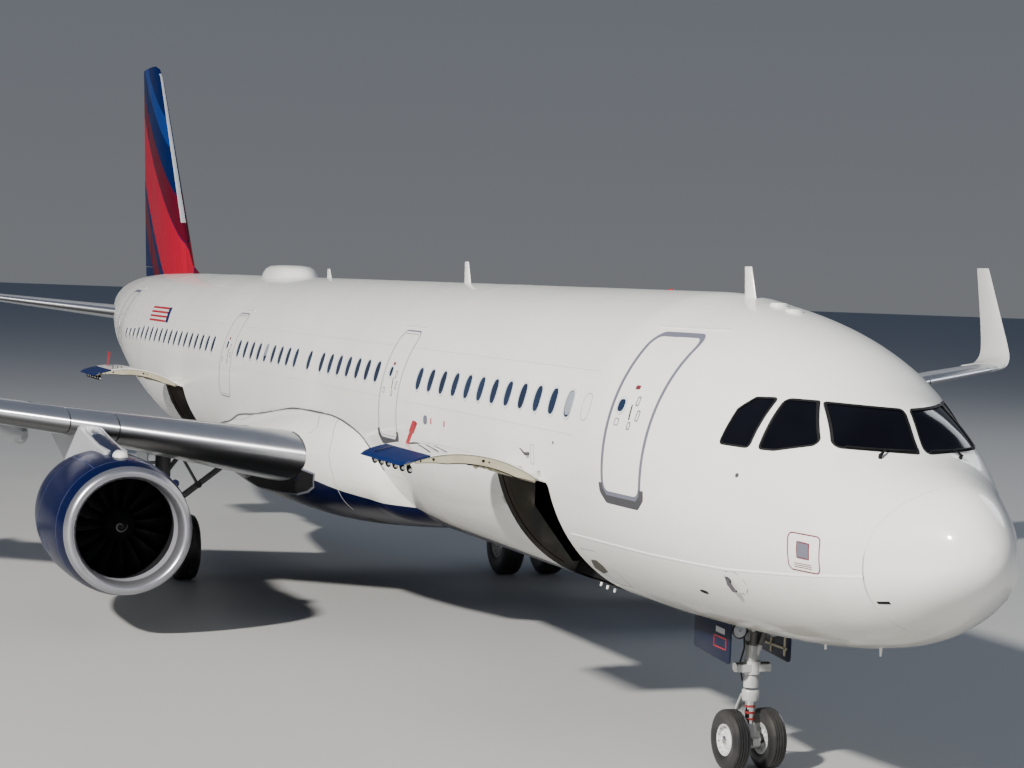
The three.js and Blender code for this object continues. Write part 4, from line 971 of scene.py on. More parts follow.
# Cabin doors
# Four plug doors a side sit flush in thin seams, each in a grey painted band with a dark scuff plate under
# its sill. The full-size ones at the ends carry a small round window, and every one a flush handle and a
# blank placard.
band_pieces, dark_pieces, red_pieces, frame_pieces, glass_pieces, line_pieces = [], [], [], [], [], []
line_grey = painted("panel_joint_grey", (0.36, 0.37, 0.39), amount=0.1, gloss=0.5, coat=0)
panel_box = lambda s, z, w, h, power=0.35: oval(s, z, w / 2, h / 2, 32, power)
SIDES = (("left", 1), ("right", -1))
for number, s, width, sill, top in CABIN_DOORS:
    half, middle = width / 2, (sill + top) / 2
    rounded = lambda grow: rounded_outline(
        [
            (s - half - grow, sill - grow), (s + half + grow, sill - grow), (s + half + grow, top + grow),
            (s - half - grow, top + grow)
        ],
        DOOR_CORNER + grow, 0, 6
    )
    for word, side in SIDES:
        leaf = hull_slice("leaf", s - half - 0.12, s + half + 0.12, 0.0, 0.12)
        outline = side_block("outline", s - half, s + half, sill, top, DOOR_CORNER, 0, side)
        carve(leaf, [outline], "INTERSECT")
        drop(outline)
        leaf.name = f"cabin_door_{number}_{word}_leaf"
        dress(finish_with(hull_normals(leaf), hull_finish), f"cabin_door_{number}_{word}")
        if number in (1, 4):
            band_pieces.append(ribbon("band", rounded(0.032), 0.056, band_paint, side, 0.002))
        else:
            line_pieces.append(ribbon("band", rounded(0.05), 0.022, band_paint, side, 0.002))
        wide, low = half + 0.07, sill - 0.1
        tray = [
            (s - wide, sill + 0.09), (s - wide, sill), (s - wide + 0.12, low), (s + wide - 0.12, low),
            (s + wide, sill), (s + wide, sill + 0.09)
        ]
        if number in (1, 2, 4):
            dark_pieces.append(ribbon("scuff_plate", tray, 0.1, scuff_paint, side, 0.004, False, 0.04))
        look, handle = (s + 0.27, s + 0.03) if number in (1, 4) else (s + 0.1, s - 0.08)
        dark_pieces.append(ribbon(
            "handle_slot", [(handle - 0.02, middle - 0.06), (handle + 0.01, middle + 0.12)], 0.026,
            seal_black, side, 0.003, False
        ))
        for ahead, up, long in ((-0.09, 0.17, 0.1), (-0.19, 0.0, 0.12), (-0.05, -0.13, 0.08)):
            line_pieces.append(ribbon(
                "note", panel_box(handle + ahead, middle + up, 0.06, long), 0.016, band_paint, side, 0.0025
            ))
        frame, pane = window_parts(
            look, middle + (0.1 if number in (1, 4) else 0.2), side, window_glass, (0.085, 0.085)
        )
        frame_pieces.append(frame)
        glass_pieces.append(pane)
        red_pieces.append(patch(
            "placard", panel_box(s + 0.08, middle + 0.33, 0.1, 0.05), dark_red, side, 0.003
        ))
        red_pieces.append(ribbon(
            "note", panel_box(s + 0.28, middle - 0.1, 0.09, 0.08), 0.012, band_paint, side, 0.003
        ))
        line_pieces.append(ribbon(
            "rain_gutter", [(s - half - 0.2, top + 0.12), (s + half + 0.2, top + 0.12)], 0.02, white_paint,
            side, 0.014, False
        ))

# Panel joints and markings
# Butt joints ring the tube where its sections meet, lap joints run along it, and small blank placards, drain
# slots, static ports and probes are spread over the nose as on the real skin.
by_angle = lambda line, side, lift: hull_points(line[:, 0], line[:, 1], lift)
ring_line = lambda s, low=-88, high=268: [(s, math.radians(a)) for a in (low, high)]
jamb_tone = painted("vent_mouth_brown", (0.07, 0.066, 0.055), amount=0.2, gloss=0.6, coat=0, shine=0.2)
faint_grey = painted("panel_joint_faint", (0.56, 0.56, 0.55), amount=0.1, gloss=0.5, coat=0)
# Brighter than the white paint: a painted highlight for the lap joint on the nose.
lap_joint_highlight_white = painted("panel_joint_white", (1.0, 1.0, 0.98), amount=0.02, gloss=0.3, coat=0.3)
for s in (12.9, 26.2, 31.3, 34.6, 38.2, 41.9):
    low, high = (-38, 218) if 12.9 < s < 27 else (-88, 268)
    line_pieces.append(ribbon(
        "butt_joint", ring_line(s, low, high), 0.008, faint_grey, 1, 0.0015, False, 0.04, by_angle
    ))
LAPS = [(9.4, 38.0, 2.75), (6.4, 38.0, 4.04), (6.2, 38.0, 4.86)]


def without(spans, low, high):
    """The spans with the stretch from low to high taken out."""
    return [part for a, b in spans for part in ((a, min(b, low)), (max(a, high), b)) if part[1] > part[0]]


for side in (-1, 1):
    for s0, s1, z in LAPS:
        spans = [(s0, s1)]
        for _, s, width, sill, top in CABIN_DOORS:
            if sill - 0.1 < z < top + 0.1:
                spans = without(spans, s - width / 2 - 0.1, s + width / 2 + 0.1)
        if z < 3.6:
            spans = without(spans, 14.6, 27.4)
        if z < 3.3 and side < 0:
            for _, (d0, d1), _ in CARGO_BAYS:
                spans = without(spans, d0 - 0.1, d1 + 0.1)
        for a, b in spans:
            line_pieces.append(ribbon(
                "lap_joint", [(a, z), (b, z)], 0.008, faint_grey, side, 0.0015, False, 0.25
            ))
    # The lap joint along the nose is a bright strip: a painted highlight where light catches the step in the
    # skin.
    front_lap = [(7.03, 2.708), (4.665, 2.76), (2.947, 2.813), (1.823, 2.903), (0.98, 3.0)]
    line_pieces.append(ribbon("front_lap", front_lap, 0.02, lap_joint_highlight_white, side, 0.006, False, 0.12))
    line_pieces.append(ribbon(
        "blanked_window", oval(6.174, WINDOW_Z, 0.12, 0.17), 0.012, line_grey, side, 0.002, gap=0.03
    ))
    red_pieces.append(ribbon(
        "service_panel_rim",
        rounded_outline([(1.455, 2.96), (1.455, 3.355), (1.905, 3.365), (1.905, 2.965)], 0.06, 0, 6), 0.013,
        dark_red, side, 0.003
    ))
    panel = [(1.6, 3.1), (1.6, 3.265), (1.775, 3.275), (1.775, 3.105)]
    dark_pieces.append(patch("service_panel_door", panel, band_paint, side, 0.004))
    red_pieces.append(ribbon("service_panel_edge", panel, 0.014, dark_red, side, 0.005))
    for z in (3.0, 3.02, 3.04):
        red_pieces.append(ribbon(
            "service_note", [(1.57, z), (1.82, z)], 0.007, dark_red, side, 0.003, False
        ))
    dark_pieces.append(ribbon(
        "drain_slot", [(0.81, 2.75), (0.93, 2.735)], 0.026, seal_black, side, 0.003, False
    ))
    for k in range(7):
        turn = 2 * math.pi * k / 7
        arc = [(2.87 + 0.17 * math.cos(turn + d), 2.68 + 0.13 * math.sin(turn + d)) for d in (0, 0.25, 0.5)]
        line_pieces.append(ribbon("probe_ring", arc, 0.01, line_grey, side, 0.003, False, 0.03))
    probe = ((2.99, 2.69, 0.0), (2.97, 2.66, 0.03), (2.93, 2.6, 0.04), (2.87, 2.6, 0.045))
    probe = [side_point(s, z, side, up) for s, z, up in probe]
    dark_pieces.append(tube("probe", probe, [0.03, 0.022, 0.02, 0.012], scuff_paint, 8))
    dark_pieces.append(patch("probe_foot", oval(2.99, 2.69, 0.05, 0.035, 16, 1), scuff_paint, side, 0.004))
    dark_pieces.append(patch("drain_mouth", oval(3.75, 2.44, 0.09, 0.02, 12, 1), seal_black, side, 0.004))
    dark_pieces.append(patch("port", oval(2.744, 3.888, 0.025, 0.025, 10, 1), scuff_paint, side, 0.004))
    dark_pieces.append(patch("port", oval(7.014, 3.892, 0.025, 0.02, 10, 1), scuff_paint, side, 0.004))
    dark_pieces.append(patch(
        "static_plate", oval(12.03, 3.82, 0.09, 0.07, 20, 0.8), band_paint, side, 0.003
    ))
    for s in (11.77, 11.18):
        red_pieces.append(patch("note", panel_box(s, 3.82, 0.05, 0.09), red_paint, side, 0.003))
    foot, tip = (side_point(7.84, 3.68, side, up) for up in (0.0, 0.06))
    dark_pieces.append(tube("vane", [tip, tip + (0.18, 0, 0.06)], [0.014, 0.008], scuff_paint, 8))
    dark_pieces.append(tube("vane_foot", [foot, tip], 0.022, scuff_paint, 8))
    line_pieces.append(ribbon("note", panel_box(7.72, 3.68, 0.12, 0.26), 0.01, line_grey, side, 0.003))
    hatch = rounded_outline([(7.07, 2.52), (6.5, 2.55), (6.28, 2.32), (6.33, 2.1), (6.9, 2.06)], 0.04, 0, 4)
    line_pieces.append(ribbon("hatch", hatch, 0.011, line_grey, side, 0.002, gap=0.04))
    dark_pieces.append(patch(
        "hatch_mouth", [(6.95, 2.38), (6.74, 2.4), (6.66, 2.33), (6.7, 2.25), (7.0, 2.19), (7.12, 2.25)],
        jamb_tone, side, 0.004
    ))
for side in (-1, 1):
    for k in range(4):
        shift = 0.1 * k
        low = 4.72 + shift
        stripe = [(31.5, low), (33.3, low), (33.34, low + 0.05), (31.54, low + 0.05)]
        red_pieces.append(patch("stripe", [(s + shift, z) for s, z in stripe], red_paint, side, 0.003))
    line_pieces.append(patch(
        "flag_bar", [(31.2, 4.72), (31.46, 4.72), (31.86, 5.07), (31.6, 5.07)], royal_paint, side, 0.003
    ))
for name, group, slot in (
    ("door_bands", band_pieces, "grey_paint"), ("scuff_plates_and_ports", dark_pieces, "gear_metal"),
    ("red_markings", red_pieces, "blue_paint"), ("door_window_frames", frame_pieces, "white_paint"),
    ("door_window_panes", glass_pieces, "cockpit_glass"), ("panel_joints", line_pieces, "grey_paint"),
):
    dress(join(name, group))

# Cargo doors and holds
# Two doors on the starboard side swing out and up past level on three hinges. Each is a skin on a box rim
# with ribs between, hooks along its free edge and a red handle. The bays behind have primed jambs, lining
# kept near black as painted shade of the deep hold, and a roller floor.
CARGO_OPEN = math.radians(137)
NAVY_UP_TO = 2.06  # the height on a cargo door where its navy foot ends
HOOKS, HOOK_INSET = 6, 0.18
bare_metal = painted(
    "bare_metal", (0.52, 0.53, 0.54), dirt=(0.2, 0.19, 0.18), amount=0.35, gloss=0.3, metallic=0.85, coat=0
)
primer_cream = painted(
    "cream_primer", (0.50, 0.46, 0.33), dirt=(0.25, 0.2, 0.12), amount=0.6, gloss=0.45, coat=0
)
jamb_brown = painted(
    "jamb_primer_brown", (0.07, 0.055, 0.045), dirt=(0.2, 0.18, 0.15), amount=0.4, gloss=0.45, coat=0
)


def hull_shell(name, s0, s1, z0, z1, inner, outer, material=None, side=-1, thin=False):
    """A closed piece of shell on one side of the hull between two stations, two heights and two lifts.
    A thin one draws in towards its two ends wherever it lies deeper than the skin."""
    low, high = (float(side_angle(s0, z, side)[0]) for z in (z0, z1))
    angles = np.linspace(low, high, max(2, int(abs(z1 - z0) / 0.04) + 2))
    share = np.interp(np.linspace(0, 1, len(angles)), (0, 0.25, 0.85, 1), (0.4, 1, 1, 0.5))[:, None]
    rings = []
    for s in np.linspace(s0, s1, max(2, int((s1 - s0) / 0.3) + 2)):
        here = np.full(len(angles), s)
        face, sides = hull_points(here, angles), [
            hull_points(here, angles, lift or 1e-5) for lift in (outer, inner)
        ]
        sides = [
            face + share * (p - face) if thin and lift < -0.03 else p
            for p, lift in zip(sides, (outer, inner))
        ]
        rings.append(np.concatenate([sides[0], sides[1][::-1]]))
    return sharpen(loft_piece(name, rings, material))


def swung(piece):
    """Turns a cargo door's piece about its hinge from shut to open."""
    pivot = Matrix.Translation(real(LENGTH / 2, *CARGO_HINGE))
    piece.data.transform(pivot @ Matrix.Rotation(-CARGO_OPEN, 4, "X") @ pivot.inverted())
    return piece


for word, (s0, s1), (hold0, hold1) in CARGO_BAYS:
    body = f"cargo_door_{word}"
    corners = side_block("corners", s0, s1, CARGO_SILL, CARGO_TOP, CARGO_CORNER, 0, -1, (0.3, 3.0))
    leaves = []
    for z0, z1, paint in ((1.88, NAVY_UP_TO, royal_paint), (NAVY_UP_TO, 3.35, white_paint)):
        leaf = hull_shell("leaf", s0 - 0.02, s1 + 0.02, z0, z1, -0.02, 0)
        carve(leaf, [corners], "INTERSECT")
        leaves.append(sharpen(finish_with(leaf, paint)))
    drop(corners)
    skin = dress(swung(join(f"cargo_door_{word}_skin", leaves)), f"cargo_door_{word}", body)
    rim = []
    z0, z1 = CARGO_SILL + 0.012, CARGO_TOP - 0.02
    foot_z, head_z = CARGO_SILL + 0.06, CARGO_TOP - 0.065
    for a, b, low, high, deep in (
        (s0 + 0.01, s0 + 0.075, foot_z, head_z, -0.135), (s1 - 0.075, s1 - 0.01, foot_z, head_z, -0.135),
        (s0 + 0.076, s1 - 0.076, z0, z0 + 0.03, -0.054), (s0 + 0.076, s1 - 0.076, z1 - 0.06, z1, -0.066)
    ):
        rim.append(hull_shell("rim", a, b, low, high, deep, -0.021, primer_cream, thin=deep < -0.1))
    for i in range(1, 6):
        s = s0 + i * (s1 - s0) / 6
        rim.append(hull_shell(
            "rib", s - 0.018, s + 0.018, z0 + 0.031, z1 - 0.061, -0.085, -0.021, primer_cream
        ))
    rim.append(tube(
        "support_arm",
        [
            hull_points(s0 + 0.06, float(side_angle(s0, z, -1)[0]), up)[0]
            for z, up in ((2.62, -0.1), (2.5, -0.17), (2.42, -0.1))
        ],
        [0.012, 0.026, 0.012], primer_cream, 8
    ))
    for z in (2.14, 2.5, 2.9):
        rim.append(hull_shell("stringer", s0 + 0.08, s1 - 0.08, z, z + 0.03, -0.06, -0.021, primer_cream))
    dress(swung(join(f"cargo_door_{word}_frame", rim)), body=body)
    holes = []
    for edge, step in ((s0 + 0.0105, -0.004), (s1 - 0.0105, 0.004)):
        for z, deep, r in (
            (1.99, -0.045, 0.012), (2.08, -0.06, 0.018), (2.56, -0.075, 0.02), (2.63, -0.075, 0.012)
        ):
            spot = side_point(edge, z, -1, deep)
            holes.append(tube("hole", [spot, spot + np.array([step, 0, 0])], r, seal_black, 14))
    holes += [
        hull_shell("seal", s0 + 0.004, s0 + 0.02, foot_z, head_z, -0.025, -0.017, seal_black),
        hull_shell("seal", s1 - 0.02, s1 - 0.004, foot_z, head_z, -0.025, -0.017, seal_black),
        hull_shell(
            "edge_seal", s0 + 0.006, s0 + 0.05, foot_z, head_z, -0.147, -0.136, seal_black, thin=True
        ),
        hull_shell("edge_seal", s1 - 0.05, s1 - 0.006, foot_z, head_z, -0.147, -0.136, seal_black, thin=True)
    ]
    dress(swung(join(f"cargo_door_{word}_seals", holes)), body=body)
    lugs = []
    y, z = CARGO_HINGE
    r = 0.032
    for s in hinge_stations((s0, s1)):
        side_view = [
            (y - 0.7 * r, z + 0.7 * r), (y - r, z - r), (-1.9, 3.2), (-1.85, 3.2), (-1.866, 3.32), (y + r, z)
        ]
        lugs.append(loft_piece(
            "lug", [np.array([(s + off, *p) for p in side_view]) for off in (-0.05, 0.05)], white_paint,
            False
        ))
        lugs.append(tube("pin", [(s - 0.058, y, z), (s + 0.058, y, z)], 0.014, white_paint, 12))
    dress(swung(join(f"cargo_door_{word}_hinges", lugs)), body=body)
    # Hooks stand inward along the free edge, and the red handle folds out of the skin above them.
    angle = float(side_angle(s0, CARGO_SILL + 0.035, -1)[0])
    foot, ahead = (Vector(hull_points(s0 + HOOK_INSET, angle, up)[0]) for up in (-0.045, -0.19))
    run = (ahead - foot).normalized()
    hook = tube(
        "stem", [foot, foot + 0.07 * run, foot + 0.11 * run, foot + 0.14 * run], [0.018, 0.036, 0.036, 0.02],
        sides=10
    )
    # Each hook's white eye is a painted highlight on the black hook.
    eye = tube("eye", [foot + 0.095 * run + Vector((v, 0, 0)) for v in (-0.045, 0.045)], 0.021, sides=12)
    pitch = (s1 - s0 - 2 * HOOK_INSET) / (HOOKS - 1) * MODEL
    places = [((-pitch * i, 0, 0), (0, 0, 0)) for i in range(HOOKS)]
    for part, unit, paint in (("hooks", hook, seal_black), ("hook_eyes", eye, white_paint)):
        dress(
            repeated(f"cargo_door_{word}_{part}", swung(unit), places, paint), body=body
        )
    base_z, middle = 2.17, s0 + 1.5
    strap = []
    for up, ahead, wide, thick in (
        (0.0, 0.0, 0.04, 0.014), (0.16, -0.19, 0.04, 0.014), (0.17, -0.2, 0.06, 0.022),
        (0.32, -0.38, 0.06, 0.022)
    ):
        spot = side_point(middle + ahead, base_z, -1, up)
        strap.append(np.array([
            spot + (a * wide, 0, b * thick) for a, b in ((-1, -1), (1, -1), (1, 1), (-1, 1))
        ]))
    handle = join(f"cargo_door_{word}_handle", [
        loft_piece("strap", strap, red_paint, False),
        patch("recess", oval(middle, base_z + 0.05, 0.09, 0.05, 16, 0.4), scuff_paint, -1, 0.005),
    ])
    dress(swung(handle), body=body)
    marks = [
        ribbon("mark", [(s0 + a, z), (s0 + a - 0.98, z - 0.11)], 0.012, scuff_paint, -1, 0.003, False, 0.1)
        for a, z in ((1.25, 2.22), (1.22, 2.28), (1.07, 2.32))
    ]
    marks += [ribbon("mark", [(s0 + 0.1, 2.44), (s1 - 0.1, 2.44)], 0.008, line_grey, -1, 0.002, False),
              patch("mark", panel_box(s0 + 1.44, 1.985, 0.12, 0.12), navy_paint, -1, 0.004)]
    dress(swung(join(f"cargo_door_{word}_marks", marks)), body=body)

    # The bay: jamb plates fore and aft, a black sill plate with hook seats, lining panels near black as
    # painted shade, and a floor of rollers
    jambs, sills = [], []
    for s, t in ((s0 - 0.0135, 1), (s1 + 0.0135, -1)):
        a, b = sorted((s, s + t * 0.004))
        jambs.append(hull_shell("jamb", a, b, 1.99, 3.3, -0.13, -0.035, jamb_brown))
        jambs.append(hull_shell(
            "jamb_seal", *sorted((s, s + t * 0.0065)), 1.99, 3.3, -0.075, -0.06, seal_black
        ))
        curve = [side_point(a, z, -1, -0.135)[1:] for z in np.linspace(2.47, 3.25, 12)]
        jambs.append(loft_piece(
            "jamb_panel",
            [np.array([(v, *p) for p in [*curve, (-1.39, 3.25)]]) for v in (a + 0.0005, b - 0.0005)],
            jamb_tone, False
        ))
        if t < 0:
            sills.append(tube(
                "latch",
                [
                    hull_points(s1 + 0.03, float(side_angle(s1, z, -1)[0]), up)[0]
                    for z, up in ((2.99, 0.0), (2.96, 0.03), (2.9, 0.022), (2.84, -0.01))
                ],
                0.016, white_paint, 8
            ))
    sills.append(hull_shell(
        "sill_plate", s0 + 0.01, s1 - 0.01, CARGO_SILL - 0.0105, CARGO_SILL + 0.001, -0.3, -0.03, seal_black
    ))
    for i in range(HOOKS):
        s = s0 + HOOK_INSET + i * (s1 - s0 - 2 * HOOK_INSET) / (HOOKS - 1)
        sills.append(hull_shell(
            "hook_seat", s - 0.04, s + 0.04, CARGO_SILL + 0.0015, CARGO_SILL + 0.05, -0.3, -0.24, jamb_tone
        ))
    for s, z in ((s0 + 0.8, 1.9), (s0 + 0.59, 1.888), (s0 + 0.35, 1.88)):
        sills.append(tube(
            "drain_stub", [(s, -0.72, z + 0.008), (s, -0.735, z - 0.042)], [0.021, 0.016], white_paint, 10
        ))
    posts = [s0 + 0.02, *[v for h in hinge_stations((s0, s1)) for v in (h - 0.075, h + 0.075)], s1 - 0.02]
    for a, b in zip(posts[::2], posts[1::2]):
        if b > a + 0.03:
            sills.append(tube(
                "hinge_cover", [(a, -1.945, 3.375), (b, -1.945, 3.375)], 0.028, white_paint, 12
            ))
    dress(join(f"cargo_bay_{word}_jambs", jambs))
    dress(join(f"cargo_bay_{word}_sills", sills))
    lining = [
        boxed("wall", hold0 + 0.02, hold1 - 0.02, -0.62, 0.7, 2.062, 2.078),
        boxed("end", hold1 - 0.03, hold1 - 0.012, -0.7, 0.7, 2.1, 3.26)
    ]
    lining = [finish_with(piece, hold_lining) for piece in lining]
    lining.append(finish_with(boxed("light_strip", s0, s1, -0.2, 0.2, 3.27, 3.285), window_frame))
    dress(join(f"cargo_bay_{word}_lining", lining))
    roller = tube("roller", [(LENGTH / 2, y, 2.1) for y in (-0.28, 0.28)], 0.022, sides=10)
    rows = [((HALF_LENGTH - MODEL * s, 0, 0), (0, 0, 0)) for s in np.arange(hold0 + 0.2, hold1 - 0.1, 0.16)]
    dress(repeated(f"cargo_bay_{word}_rollers", roller, rows, bare_metal, 0.0))

# Belly fairing
# A long squarish pod of composite panels under the wing roots holds the gear and air packs. Its rim is a
# scalloped black seal where it meets the fuselage, with panel joints, two air scoops and an exhaust grille.
# columns: station, top, bottom, half width
FAIRING = np.array([
    [14.4, 2.6, 1.95, 1.1], [14.8, 3.3, 1.84, 1.78], [15.1, 3.7, 1.8, 1.95], [15.6, 3.86, 1.74, 2.1],
    [16.6, 3.92, 1.64, 2.28], [18.0, 3.9, 1.54, 2.4], [19.5, 3.8, 1.5, 2.42], [21.7, 3.54, 1.5, 2.4],
    [23.2, 3.33, 1.58, 2.3], [24.5, 3.16, 1.68, 2.15], [26.3, 2.75, 1.76, 1.75], [27.6, 2.2, 1.84, 1.0],
])
POD_POWER, POD_SIDES = 0.78, 120  # the pod's section is squarer than an ellipse, whose power is 1


def fairing_points(s, angle, lift=0.0):
    s, angle = np.broadcast_arrays(
        np.atleast_1d(np.asarray(s, float)), np.atleast_1d(np.asarray(angle, float))
    )
    top, bottom, half = (monotone(FAIRING[:, 0], FAIRING[:, c], s) for c in (1, 2, 3))
    bulge = lambda v: np.sign(v) * np.abs(v) ** POD_POWER
    return np.stack(
        [
            s, (half + lift) * bulge(np.cos(angle)),
            (top + bottom) / 2 + ((top - bottom) / 2 + lift) * bulge(np.sin(angle))
        ],
        1
    )


around = 2 * np.pi * (np.arange(POD_SIDES) + 0.5) / POD_SIDES
stations = [*np.linspace(14.4, 15.6, 20), *np.linspace(15.8, 24.5, 34), *np.linspace(24.8, 27.6, 14)]
pod = loft_piece("belly_fairing_skin", [fairing_points(np.full(POD_SIDES, s), around) for s in stations])
dress(finish_with(sharpen(pod, 30), hull_finish), "belly_fairing")
on_fairing = lambda line, side, lift: fairing_points(
    line[:, 0], line[:, 1] if side > 0 else np.pi - line[:, 1], lift
)


def fairing_angle(s, z):
    """The angle round the fairing of a point at height z on its side."""
    top, bottom = (monotone(FAIRING[:, 0], FAIRING[:, c], np.atleast_1d(s)) for c in (1, 2))
    share = np.clip((z - (top + bottom) / 2) / ((top - bottom) / 2), -1, 1)
    return np.arcsin(np.sign(share) * np.abs(share) ** (1 / POD_POWER))


def outermost(line, side, lift):
    """Points (s, z) on whichever of hull and fairing stands further out."""
    s = np.clip(line[:, 0], 14.41, 27.59)
    pod_side = on_fairing(np.stack([s, fairing_angle(s, line[:, 1])], 1), side, lift)
    hull_side = on_side(line, side, lift)
    return np.where((np.abs(pod_side[:, 1]) > np.abs(hull_side[:, 1]))[:, None], pod_side, hull_side)


seams, dark = [], []
SCALLOP = [
    (27.3, 2.3), (26.3, 2.7), (25.0, 2.87), (23.9, 3.07), (22.6, 3.17), (21.5, 3.27), (20.5, 3.39),
    (19.3, 3.505), (17.9, 3.535), (17.1, 3.54), (16.5, 3.51), (15.9, 3.43), (15.45, 3.33), (15.1, 3.17),
    (14.85, 2.98), (14.72, 2.8)
]
scallop_s, scallop_z = (np.array([p[k] for p in SCALLOP[::-1]]) for k in (0, 1))
scallop = [
    (s, float(monotone(scallop_s, scallop_z, np.array([s]))[0])) for s in np.linspace(14.72, 27.3, 160)
]
for side in (1, -1):
    seams.append(ribbon("rim_seal", scallop, 0.022, scuff_paint, side, 0.012, False, 0.08, outermost))
    for line in (
        [(17.46, 3.51), (17.06, 3.34), (17.23, 3.2)],
        [(16.53, 3.5), (16.2, 3.2), (16.19, 2.9), (16.04, 2.6), (16.0, 2.3), (16.1, 2.0)]
    ):
        seams.append(ribbon("pod_joint", line, 0.011, line_grey, side, 0.004, False, 0.05, outermost))
    for s in (19.6, 21.4, 23.4, 25.2):
        seams.append(ribbon(
            "pod_joint", [(s, math.radians(a)) for a in (-89, 10)], 0.010, line_grey, side, 0.003, False,
            0.05, on_fairing
        ))
    seams.append(ribbon(
        "pod_joint", [(17.2, math.radians(-60)), (26.6, math.radians(-60))], 0.006, line_grey, side, 0.003,
        False, 0.2, on_fairing
    ))
    # Under the wing root a flat black patch stands for the recess: painted shade of its hollow, in a grey
    # rim.
    root = [
        (16.78, 2.54), (16.96, 2.3), (17.4, 2.17), (18.2, 2.04), (19.3, 1.96), (20.6, 1.88), (21.4, 1.84),
        (21.8, 1.98), (20.5, 2.2), (18.8, 2.42), (17.5, 2.58)
    ]
    dark.append(patch("wing_root_recess", root, seal_black, side, 0.004, outermost))
    seams.append(ribbon("recess_rim", root, 0.03, band_paint, side, 0.012, True, 0.06, outermost))
    dark.append(patch(
        "air_scoop", [(16.2, -1.25), (16.8, -1.2), (16.8, -1.02), (16.2, -0.97)], seal_black, side, 0.004,
        on_fairing
    ))
    dark.append(patch(
        "exhaust_grille", [(19.9, -1.3), (20.6, -1.3), (20.6, -1.05), (19.9, -1.05)], seal_black, side,
        0.004, on_fairing
    ))
dress(join("belly_fairing_joints", seams))
dress(join("belly_fairing_openings", dark))

# Wings
# Each wing has a grey painted box with a row of spoilers on top, bright metal slats ahead, flaps and an
# aileron behind, three long fairings under the flap tracks, and a tip that curves up into a tall blade.
# columns: y, leading edge station, chord, height there, thickness share, fall from front to back
WING = np.array([
    [1.0, 16.45, 6.8, 2.66, 0.15, 0.714], [2.3, 17.12, 6.13, 2.8, 0.15, 0.644],
    [6.4, 19.24, 4.06, 3.25, 0.12, 0.276], [16.9, 24.65, 1.62, 4.36, 0.108, 0.032]
])
CAMBER, SLAT_SHARE, FLAP_SHARE, AILERON_SHARE = 0.012, 0.15, 0.74, 0.75
MOVING_GAP, END_ROOM = 0.016, 0.019
KINK = 6.4  # out along the wing, where its trailing edge turns


def row_at(table, value):
    """A table's row at a value of its first column."""
    return [value] + [float(np.interp(value, table[:, 0], table[:, c])) for c in range(1, table.shape[1])]


def half_thickness(x, share):
    return 5 * share * (
        0.2969 * np.sqrt(x) - 0.126 * x - 0.3516 * x**2 + 0.2843 * x**3 - 0.1036 * x**4
    ) + 0.0015


def foil_outline(chord, share, camber, x0, x1, nose=0.0, cove=0.0, count=20):
    """A part of an aerofoil between two shares of its chord, as rows (aft, up) in real metres. A nose
    radius rounds its front about the hinge at x0, and a cove radius hollows its back about that at x1."""
    thick = lambda x: half_thickness(x, share) * chord
    bend = lambda x: camber * 4 * x * (1 - x) * chord
    stop = x1 - math.sqrt(max(cove**2 - thick(x1) ** 2, 0)) / chord if cove else x1
    u = np.linspace(0, 1, count)
    xs = x0 + (stop - x0) * (1 - np.cos(u * math.pi / 2) if x0 == 0 else u)
    top = np.stack([xs * chord, bend(xs) + thick(xs)], 1)[::-1]
    bottom = np.stack([xs * chord, bend(xs) - thick(xs)], 1)
    rows = [top]
    if nose:
        a = np.radians(np.linspace(95, 265, 12))
        rows.append(np.stack([x0 * chord + nose * np.cos(a), bend(x0) + nose * np.sin(a)], 1))
    rows.append(bottom)
    if cove:
        edge = math.atan2(thick(x1), -math.sqrt(max(cove**2 - thick(x1) ** 2, 0)))
        a = np.linspace(2 * math.pi - edge, edge, 14)[1:-1]
        rows.append(np.stack([x1 * chord + cove * np.cos(a), bend(x1) + cove * np.sin(a)], 1))
    return np.concatenate(rows)


def wing_part(name, ys, x0, x1, material, side, nose=0.0, cove=0.0):
    """A piece of the wing between span positions: x0 and x1 are shares of the chord, or functions of y."""
    rings = []
    for y in ys:
        _, lead, chord, z, share, fall = row_at(WING, y)
        a, b = (v(y) if callable(v) else v for v in (x0, x1))
        radius = 0.97 * half_thickness(AILERON_SHARE, share) * chord
        shape = foil_outline(
            chord, share, CAMBER, a, b, radius * nose, radius + 1.2 * MOVING_GAP if cove else 0
        )
        up = z + shape[:, 1] - fall * shape[:, 0] / chord
        rings.append(np.stack([lead + shape[:, 0], np.full(len(shape), side * y), up], 1))
    return sharpen(loft_piece(name, rings, material), 30)


def on_wing(line, side, lift):
    """Points on the top of the wing from rows (station, y), or under it where the lift is negative."""
    out = []
    for s, y in line:
        _, lead, chord, z, share, fall = row_at(WING, y)
        x = min(max((s - lead) / chord, 0), 1)
        up = CAMBER * 4 * x * (1 - x) * chord - fall * x
        sign = 1 if lift > -0.5 else -1
        out.append((
            s, side * y,
            z + up + sign * half_thickness(x, share) * chord + (lift if sign > 0 else -(lift + 1))
        ))
    return np.array(out)


under_wing = lambda line, side, lift: on_wing(line, side, lift - 1)
at_share = lambda y, x: row_at(WING, y)[1] + x * row_at(WING, y)[2]


def front_of_flap(y):
    """The flap's front edge as a share of the chord: inboard of the wing's kink it runs straight."""
    if y >= KINK:
        return FLAP_SHARE
    _, lead, chord = row_at(WING, y)[:3]
    return (np.interp(y, [2.2, KINK], [22.4, at_share(KINK, FLAP_SHARE)]) - lead) / chord


gapped = lambda share, gap: lambda y: (share(y) if callable(share) else share) + gap / row_at(WING, y)[2]
slat_metal = painted(
    "slat_bright_metal", (0.58, 0.59, 0.63), dirt=(0.33, 0.32, 0.31), amount=0.3, gloss=0.26, metallic=0.9,
    coat=0
)


